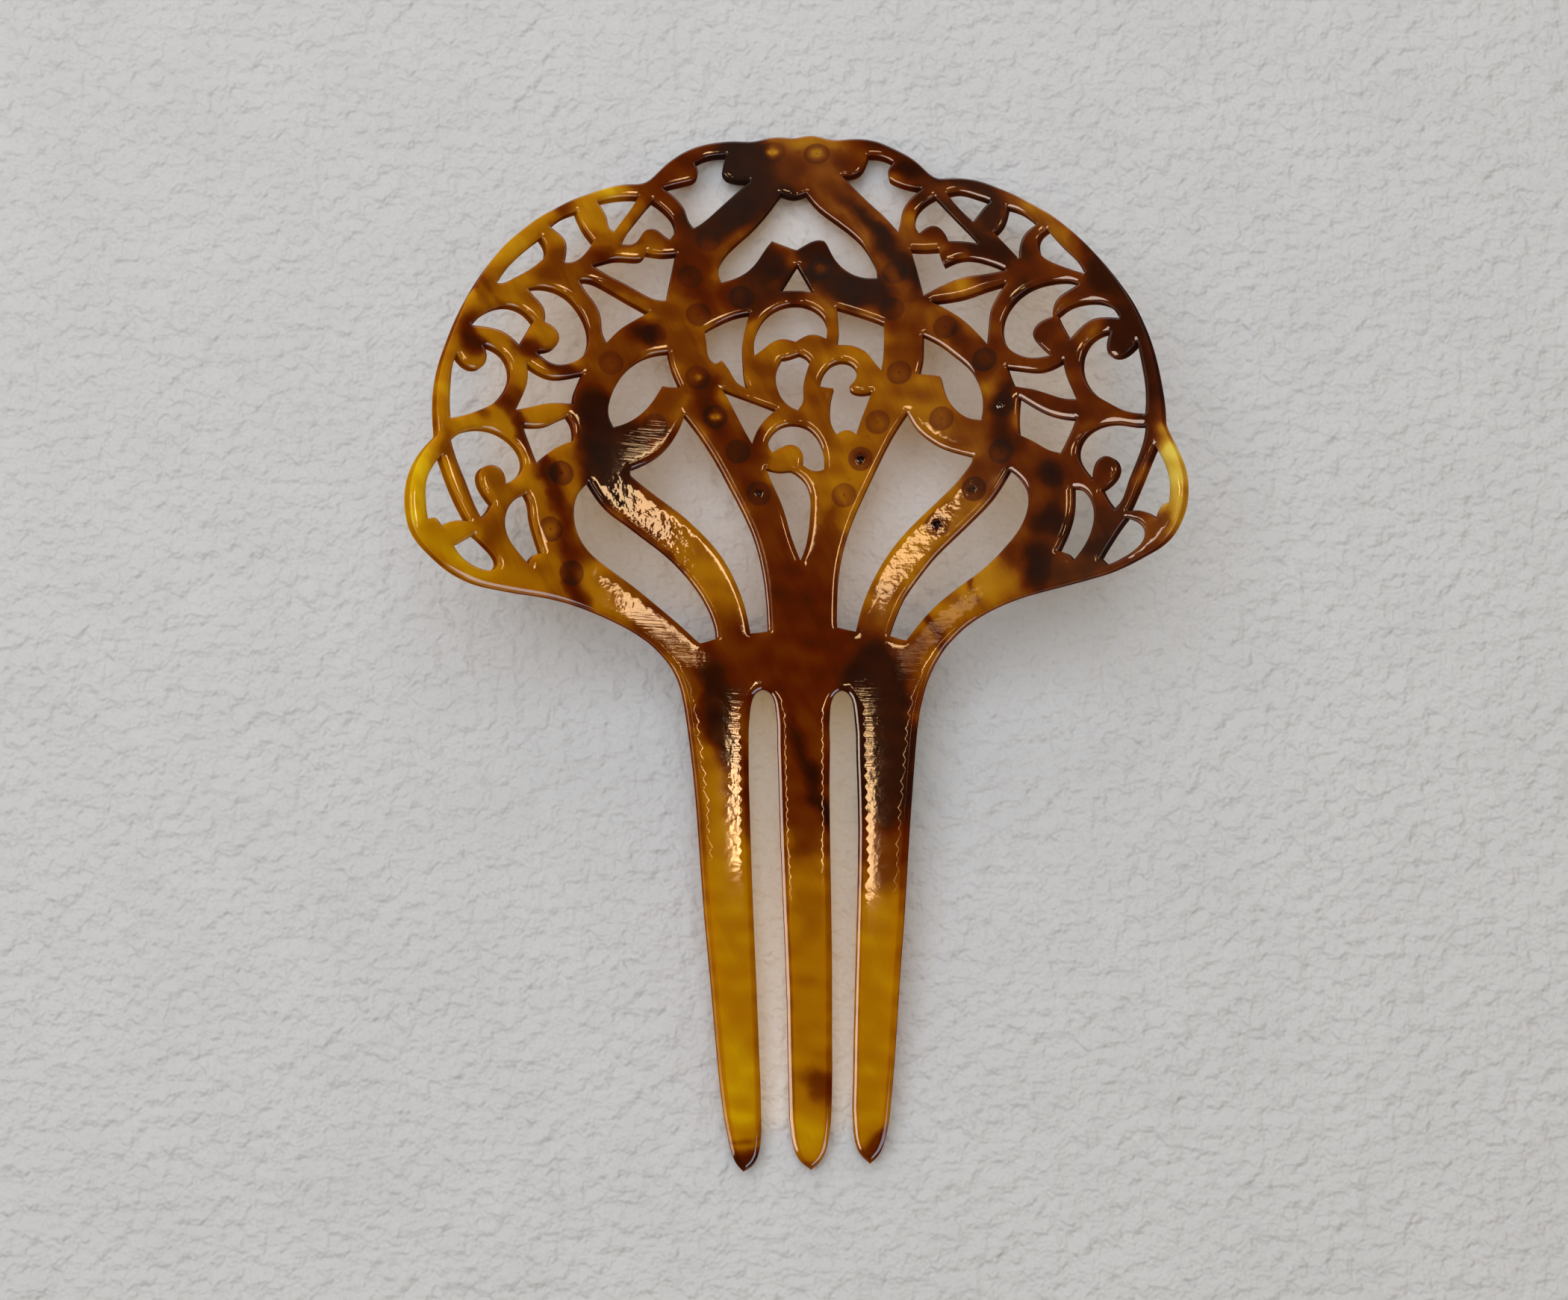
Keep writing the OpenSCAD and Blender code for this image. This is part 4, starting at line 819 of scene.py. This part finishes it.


# Cellulose plastic, cast in clouded blocks, sawn and polished: warm, translucent and glossy, amber
# where it is clear, with brown clouds inside it, and painted shade where one looks along the sheet
plasticLook = {
    "warm": [(0.0, "#f0c608"), (0.07, "#ebbc06"), (0.15, "#d39c05"), (0.24, "#c48304"), (0.32, "#ba7703"),
             (0.41, "#9f5b03"), (0.5, "#813e02"), (0.6, "#712c02"), (0.67, "#631d02"), (0.76, "#4f1c02"),
             (0.86, "#391203"), (1.0, "#2c1009")],
    "cool": [(0.0, "#f0d765"), (0.15, "#d6a83c"), (0.3, "#ba8424"), (0.45, "#905220"), (0.6, "#6e3817"),
             (0.8, "#432519"), (1.0, "#30211c")],
    "disc": [(0.0, "#ffffff"), (0.03, "#f4f4f4"), (0.07, "#909090"), (0.2, "#888888"), (0.36, "#a8a8a8"),
             (0.54, "#c8c8c8"), (0.63, "#dcdcdc"), (0.72, "#000000")],
    "discWide": 2.6,       # mm from a stone's middle to the end of that ramp
    "discTint": 0.3,       # how much deeper the tint is in it
    "discCool": 0.7,       # and how much cooler
    "wall": 0.15,          # painted shade: how much deeper the tint is on the sawn walls
    "bevel": 0.1,          # and the painted shade on the rounded edges of the tines
    "streak": 0.06,        # how much a streak changes the tint
    "streakSize": 3.0,     # mm across a fine streak, which is five times as long
    "scratchSize": (9.0, 0.4, 5.0),  # mm along a scratch, across it and through the sheet
    "ior": 1.5,
    "scatter": 2.0,        # mm that red light travels inside
}
plastic, add = newMaterial("castTortoiseshellPlastic")
# what was kept at each vertex
kept = {name: add("Attribute", attribute_name=name).outputs["Fac"]
        for name in ("tint", "cool", "away", "scratched", "wavy", "filed")}
flatAt = add("Attribute", attribute_name="flat").outputs["Vector"]
toStone = add("Attribute", attribute_name="toStone").outputs["Vector"]
# streaks lie from upper left to lower right, as the cast block was pulled
streakPlace = add("Mapping", {
    "Vector": flatAt,
    "Rotation": (0, 0, math.radians(-66)),
    "Scale": (plasticLook["streakSize"] * 5, plasticLook["streakSize"], 10.0),
}, vector_type="TEXTURE")
streak = add("TexNoise", {
    "Vector": streakPlace, "Scale": 1.0, "Detail": 4.0, "Roughness": 0.6, "Distortion": 0.6})
streakShare = add("MapRange", {
    "Value": streak, "From Min": 0.25, "From Max": 0.75,
    "To Min": -plasticLook["streak"], "To Max": plasticLook["streak"],
})
along = add("SeparateXYZ", {"Vector": flatAt}).outputs["Y"]
onTine = add("MapRange", {"Value": along, "From Min": 70.0, "From Max": 60.0})
calm = add("MapRange", {"Value": onTine, "To Min": 1.0, "To Max": 0.5})
tinted = add("Math", {0: streakShare, 1: calm, 2: kept["tint"]}, operation="MULTIPLY_ADD")
# painted shade on the walls, where the distance kept is below zero
wall = add("MapRange", {
    "Value": kept["away"], "From Min": 0.12, "From Max": -0.5, "To Min": 0.0, "To Max": plasticLook["wall"],
}, interpolation_type="SMOOTHSTEP")
wallShaded = add("Math", {0: tinted, 1: wall}, operation="ADD")
# painted shade on the rounded backs of the tines
bevel = add("MapRange", {
    "Value": kept["away"], "From Min": 0.95, "From Max": 0.6, "To Min": 0.0, "To Max": plasticLook["bevel"],
}, interpolation_type="SMOOTHSTEP")
bevelled = add("Math", {0: onTine, 1: bevel, 2: wallShaded}, operation="MULTIPLY_ADD")
# stones seen through the sheet: a faint disc, its darker rim and the dot of its point
stoneOff = add("SeparateXYZ", {"Vector": toStone}).outputs
stoneFlat = add("CombineXYZ", {"X": stoneOff["X"], "Y": stoneOff["Y"]})
stoneFar = add("VectorMath", {0: stoneFlat}, operation="LENGTH").outputs["Value"]
discPlace = add("Math", {0: stoneFar, 1: plasticLook["discWide"]}, operation="DIVIDE")
disc = add("ValToRGB", {"Fac": discPlace}, plasticLook["disc"])
shown = add("Math", {0: disc, 1: stoneOff["Z"]}, operation="MULTIPLY")
stoned = add("Math", {0: shown, 1: plasticLook["discTint"], 2: bevelled}, operation="MULTIPLY_ADD")
coolShare = add("Math", {0: shown, 1: plasticLook["discCool"], 2: kept["cool"]},
                operation="MULTIPLY_ADD", use_clamp=True)
warm = add("ValToRGB", {"Fac": stoned}, plasticLook["warm"])
cold = add("ValToRGB", {"Fac": stoned}, plasticLook["cool"])
# of this node, inputs 6 and 7 and output 2 are the colours
mixed = add("Mix", {"Factor": coolShare, 6: warm, 7: cold}, data_type="RGBA")
# polish: soft unevenness about a millimetre across, deeper where it is wavy, and level scratches
# where it is worn
uneven = add("TexNoise", {"Vector": flatAt, "Scale": 0.75, "Detail": 2.0})
waviness = add("MapRange", {"Value": kept["wavy"], "To Min": 0.08, "To Max": 1.0})
unevenBump = add("Bump", {"Height": uneven, "Strength": waviness, "Distance": 0.1 * mm})
scratchPlace = add("Mapping", {
    "Vector": flatAt,
    "Rotation": (0, 0, math.radians(-3)),
    "Scale": plasticLook["scratchSize"],
}, vector_type="TEXTURE")
scratch = add("TexNoise", {"Vector": scratchPlace, "Scale": 1.0, "Detail": 2.0, "Roughness": 0.7})
scratchBump = add("Bump", {
    "Height": scratch, "Strength": kept["scratched"], "Distance": 0.05 * mm, "Normal": unevenBump})
# the sawn walls are duller than the faces, and so are edges that are only filed
sheen, lacquer = (add("MapRange", {
    "Value": kept["away"], "From Min": 0.15, "From Max": -0.1, "To Min": most, "To Max": 0.0,
}) for most in (0.5, 0.6))
polish = add("MapRange", {"Value": kept["filed"], "To Min": 1.0, "To Max": 0.1})
rubbed = add("MapRange", {
    "Value": uneven, "From Min": 0.35, "From Max": 0.7, "To Min": 0.05, "To Max": 0.1})
shell = add("BsdfPrincipled", {
    "Base Color": mixed.outputs[2],
    "Roughness": rubbed,
    "IOR": plasticLook["ior"],
    "Subsurface Weight": 0.75,
    "Subsurface Radius": (1.0, 0.55, 0.15),
    "Subsurface Scale": plasticLook["scatter"] * mm,
    "Specular IOR Level": add("Math", {0: sheen, 1: polish}, operation="MULTIPLY"),
    "Coat Weight": add("Math", {0: lacquer, 1: polish}, operation="MULTIPLY"),
    "Coat Roughness": 0.04,
    "Normal": scratchBump,
    "Coat Normal": scratchBump,
})
add("OutputMaterial", {"Surface": shell})
combMesh.materials.append(plastic)

# Lead glass, cut and foiled behind: a bright grey that differs from facet to facet, nearly a mirror,
# with the foil's fine grain dulling it here and there
glassLook = {"pale": "#f3f6fa", "mid": "#c3ccd6", "deep": "#8793a1", "cell": 0.7, "grain": 0.25}
glass, add = newMaterial("foiledCutGlass")
place = inMillimetres(add)
cells = add("TexVoronoi", {"Vector": place, "Scale": 1 / glassLook["cell"]}).outputs["Color"]
shade = add("SeparateXYZ", {"Vector": cells}).outputs["X"]
foil = add("ValToRGB", {"Fac": shade}, [
    (0.0, glassLook["deep"]), (0.35, glassLook["mid"]), (0.8, glassLook["pale"])])
grain = add("TexNoise", {"Vector": place, "Scale": 1 / glassLook["grain"]})
dulled = add("MapRange", {
    "Value": grain, "From Min": 0.35, "From Max": 0.7, "To Min": 0.03, "To Max": 0.14})
gem = add("BsdfPrincipled", {
    "Base Color": foil,
    "Metallic": 0.8,
    "Roughness": dulled,
    "IOR": 1.6,
    "Coat Weight": 0.5,
    "Coat Roughness": 0.02,
})
add("OutputMaterial", {"Surface": gem})
# the foil's lacquered back, which is what a drill hole shows
backed, add = newMaterial("lacqueredFoilBack")
mottle = add("TexNoise", {"Vector": inMillimetres(add), "Scale": 3.0})
brown = add("ValToRGB", {"Fac": mottle}, [(0.35, "#1d1410"), (0.7, "#3a2a1c")])
skin = add("BsdfPrincipled", {"Base Color": brown, "Roughness": 0.55})
add("OutputMaterial", {"Surface": skin})
for name in stoneNodes:
    mesh = frame["nodes"][name].data
    mesh.materials.clear()
    mesh.materials.append(glass)
    mesh.materials.append(backed)
    square = np.empty(len(mesh.polygons) * 3)
    mesh.polygons.foreach_get("normal", square)
    mesh.polygons.foreach_set("material_index", (square[2::3] > 0.2).astype(np.int32))
print("materials: plastic and glass")

# Table, backdrop, light and camera
table = {
    "size": 12.0,          # metres
    "pale": "#e2e0de",
    "deep": "#dedcda",
    "patch": 14.0,         # mm across a patch of tone
    "peel": 2.4,           # and across a bump of the paint's relief
    "relief": 1.3 * mm,
}
backdrop = {
    "start": 0.45,   # metres from the comb to where it lies on the table
    "flat": 0.9,     # and to where it begins to climb
    "bend": 1.6,     # radius of the climb
    "top": 3.0,
    "lift": 0.0004,  # above the table
    "sides": 96,
    "lit": 1.2,      # where its own light is full
    "glow": 0.8,
    "tint": "#aab0b5",
}


def mattPaint(name, glow):
    # Matt white wall paint laid on with a roller: dull, slightly uneven in tone, with a fine
    # orange-peel relief. The backdrop's own light makes up for daylight that doesn't reach it
    made, add = newMaterial(name)
    place = inMillimetres(add)
    patches = add("TexNoise", {"Vector": place, "Scale": 1 / table["patch"]})
    shade = add("ValToRGB", {"Fac": patches}, [(0.3, table["deep"]), (0.7, table["pale"])])
    peel = add("TexNoise", {"Vector": place, "Scale": 1 / table["peel"]})
    inputs = {
        "Base Color": shade,
        "Roughness": 0.6,
        "Specular IOR Level": 0.2,
        "Normal": add("Bump", {"Height": peel, "Strength": 1.0, "Distance": table["relief"]}),
    }
    if glow:
        own = add("TexCoord").outputs["Object"]
        far = add("VectorMath", {0: own}, operation="LENGTH").outputs["Value"]
        inputs["Emission Color"] = colour(backdrop["tint"])
        inputs["Emission Strength"] = add("MapRange", {
            "Value": far, "From Min": backdrop["start"], "From Max": backdrop["lit"],
            "To Min": 0.0, "To Max": glow}, interpolation_type="SMOOTHSTEP")
    add("OutputMaterial", {"Surface": add("BsdfPrincipled", inputs)})
    return made


def coved():
    # Rings that lie flat on the table, climb by a quarter circle and then go straight up
    flatRun = np.linspace(backdrop["start"], backdrop["flat"], 4)
    climb = np.linspace(0, np.pi / 2, 25)[1:]
    bend, sides = backdrop["bend"], backdrop["sides"]
    wall = backdrop["flat"] + bend
    reach = np.concatenate([flatRun, backdrop["flat"] + bend * np.sin(climb), [wall]])
    rise = np.concatenate([0 * flatRun, bend * (1 - np.cos(climb)), [backdrop["top"]]]) + backdrop["lift"]
    angle = np.arange(sides) * 2 * np.pi / sides
    rings = np.stack([np.outer(reach, np.cos(angle)), np.outer(reach, np.sin(angle)),
                      np.outer(rise, np.ones(sides))], -1)
    start = np.arange(len(reach) - 1)[:, None] * sides
    a, b = ((start + side).ravel() for side in ringEdges([angle]).T)
    faces = np.vstack([np.stack([a, a + sides, b], -1), np.stack([b, a + sides, b + sides], -1)])
    return rings.reshape(-1, 3), faces


half = table["size"] / 2
tableMesh = bpy.data.meshes.new("table")
tableMesh.from_pydata(
    [(-half, -half, 0), (half, -half, 0), (half, half, 0), (-half, half, 0)], [], [(0, 1, 2, 3)])
tableMesh.materials.append(mattPaint("paintedTable", 0.0))
floor = placed("table", tableMesh)

# The backdrop is seen by the camera alone, so that low views meet no horizon and it lights nothing
backdropMesh = meshOf("backdrop", *coved())
backdropMesh.materials.append(mattPaint("paintedBackdrop", backdrop["glow"]))
behind = placed("backdrop", backdropMesh)
for kind in ("diffuse", "glossy", "transmission", "volume_scatter", "shadow"):
    setattr(behind, "visible_" + kind, False)

# The lamps are what the polish mirrors. The daylight is what lights the table, and it isn't
# mirrored, so the plastic keeps its depth. The two glows, close under the comb, stand for the amber
# light that the clear plastic lets through onto the table. Each has its middle in metres, width,
# height, degrees turned, brightness, tint and what it is seen in
lights = {
    "crestGlow": ((0.0, 0.036, 0.0025), 0.092, 0.066, 0, 0.11, "#ffbc4c", "diffuse"),
    "tineGlow": ((0.0, -0.038, 0.0015), 0.018, 0.064, 0, 0.25, "#ffcc70", "diffuse"),
    "rightLamp": ((0.505, 0.18, 1.0), 0.17, 0.37, 0, 12.0, "#ffd29c", "glossy"),
    "rightFoot": ((0.5, 0.08, 1.0), 0.4, 0.055, 25, 10.0, "#ffd094", "glossy"),
    "leftLamp": ((-0.335, 0.23, 1.0), 0.38, 0.13, -40, 10.5, "#ffd096", "glossy"),
    "leftGlow": ((-0.42, 0.03, 1.0), 0.3, 0.06, -20, 2.0, "#ffd49c", "glossy"),
    "rightStrip": ((0.2, -0.2, 1.0), 0.034, 0.13, 0, 22.0, "#ffce96", "glossy"),
    "leftStrip": ((-0.172, -0.215, 1.0), 0.034, 0.16, 0, 17.0, "#ffcc90", "glossy"),
    "daylight": ((-0.28, 0.34, 1.2), 1.35, 1.35, 0, 2.4, "#dcecff", "diffuse"),
    "backWindow": ((0.0, 1.6, 0.8), 1.4, 0.7, 0, 1.3, "#fff0e0", "diffuse"),
    "frontWindow": ((0.9, -1.3, 0.9), 1.2, 0.7, 0, 3.5, "#e8f1ff", "glossy"),
    "lowWindow": ((-1.4, -0.5, 0.75), 1.3, 0.6, 0, 7.0, "#ffe6d4", "glossy"),
}
for name, (middle, wide, high, turned, bright, tint, seen) in lights.items():
    lamp = bpy.data.lights.new(name, "AREA")
    lamp.shape = "ELLIPSE" if name == "crestGlow" else "RECTANGLE"
    lamp.size, lamp.size_y = wide, high
    lamp.energy = bright * math.pi * wide * high
    lamp.color = colour(tint)[:3]
    holder = placed(name, lamp)
    holder.location = middle
    holder.rotation_euler = (0, 0, math.radians(turned))
    if name.endswith("Window"):
        holder.rotation_euler = Vector(middle).to_track_quat("Z", "Y").to_euler()
    holder.visible_diffuse = seen == "diffuse"
    holder.visible_glossy = seen == "glossy"

room = {"tint": "#f2d8ac", "bright": 0.32}
world = bpy.data.worlds.new("studio")
scene.world = world
world.use_nodes = True
sky = world.node_tree.nodes["Background"].inputs
sky["Color"].default_value = colour(room["tint"])
sky["Strength"].default_value = room["bright"]
world.cycles_visibility.glossy = False

# The camera looks at the target, raised and rolled by these degrees, from that many metres
shot = {
    "target": (-0.00209, -0.00153, 0.005),
    "distance": 0.322,
    "elevation": 84.5,
    "roll": -1.0,
    "lens": 51.43,    # mm, on a sensor of 36
    "sensor": 36.0,
    "nearest": 0.01,
}
raised, rolled = math.radians(shot["elevation"]), math.radians(shot["roll"])
backward = Vector((0, -math.cos(raised), math.sin(raised)))
right = Vector((1, 0, 0))
up = backward.cross(right)
side = right * math.cos(rolled) + up * math.sin(rolled)
top = up * math.cos(rolled) - right * math.sin(rolled)
lens = bpy.data.cameras.new("camera")
lens.lens = shot["lens"]
lens.sensor_width = shot["sensor"]
lens.clip_start = shot["nearest"]
camera = placed("camera", lens)
turned = Matrix((side, top, backward)).transposed().to_4x4()
camera.matrix_world = Matrix.Translation(Vector(shot["target"]) + backward * shot["distance"]) @ turned
scene.camera = camera
scene.view_settings.view_transform = "Standard"
print("table, backdrop, lights and camera: done")
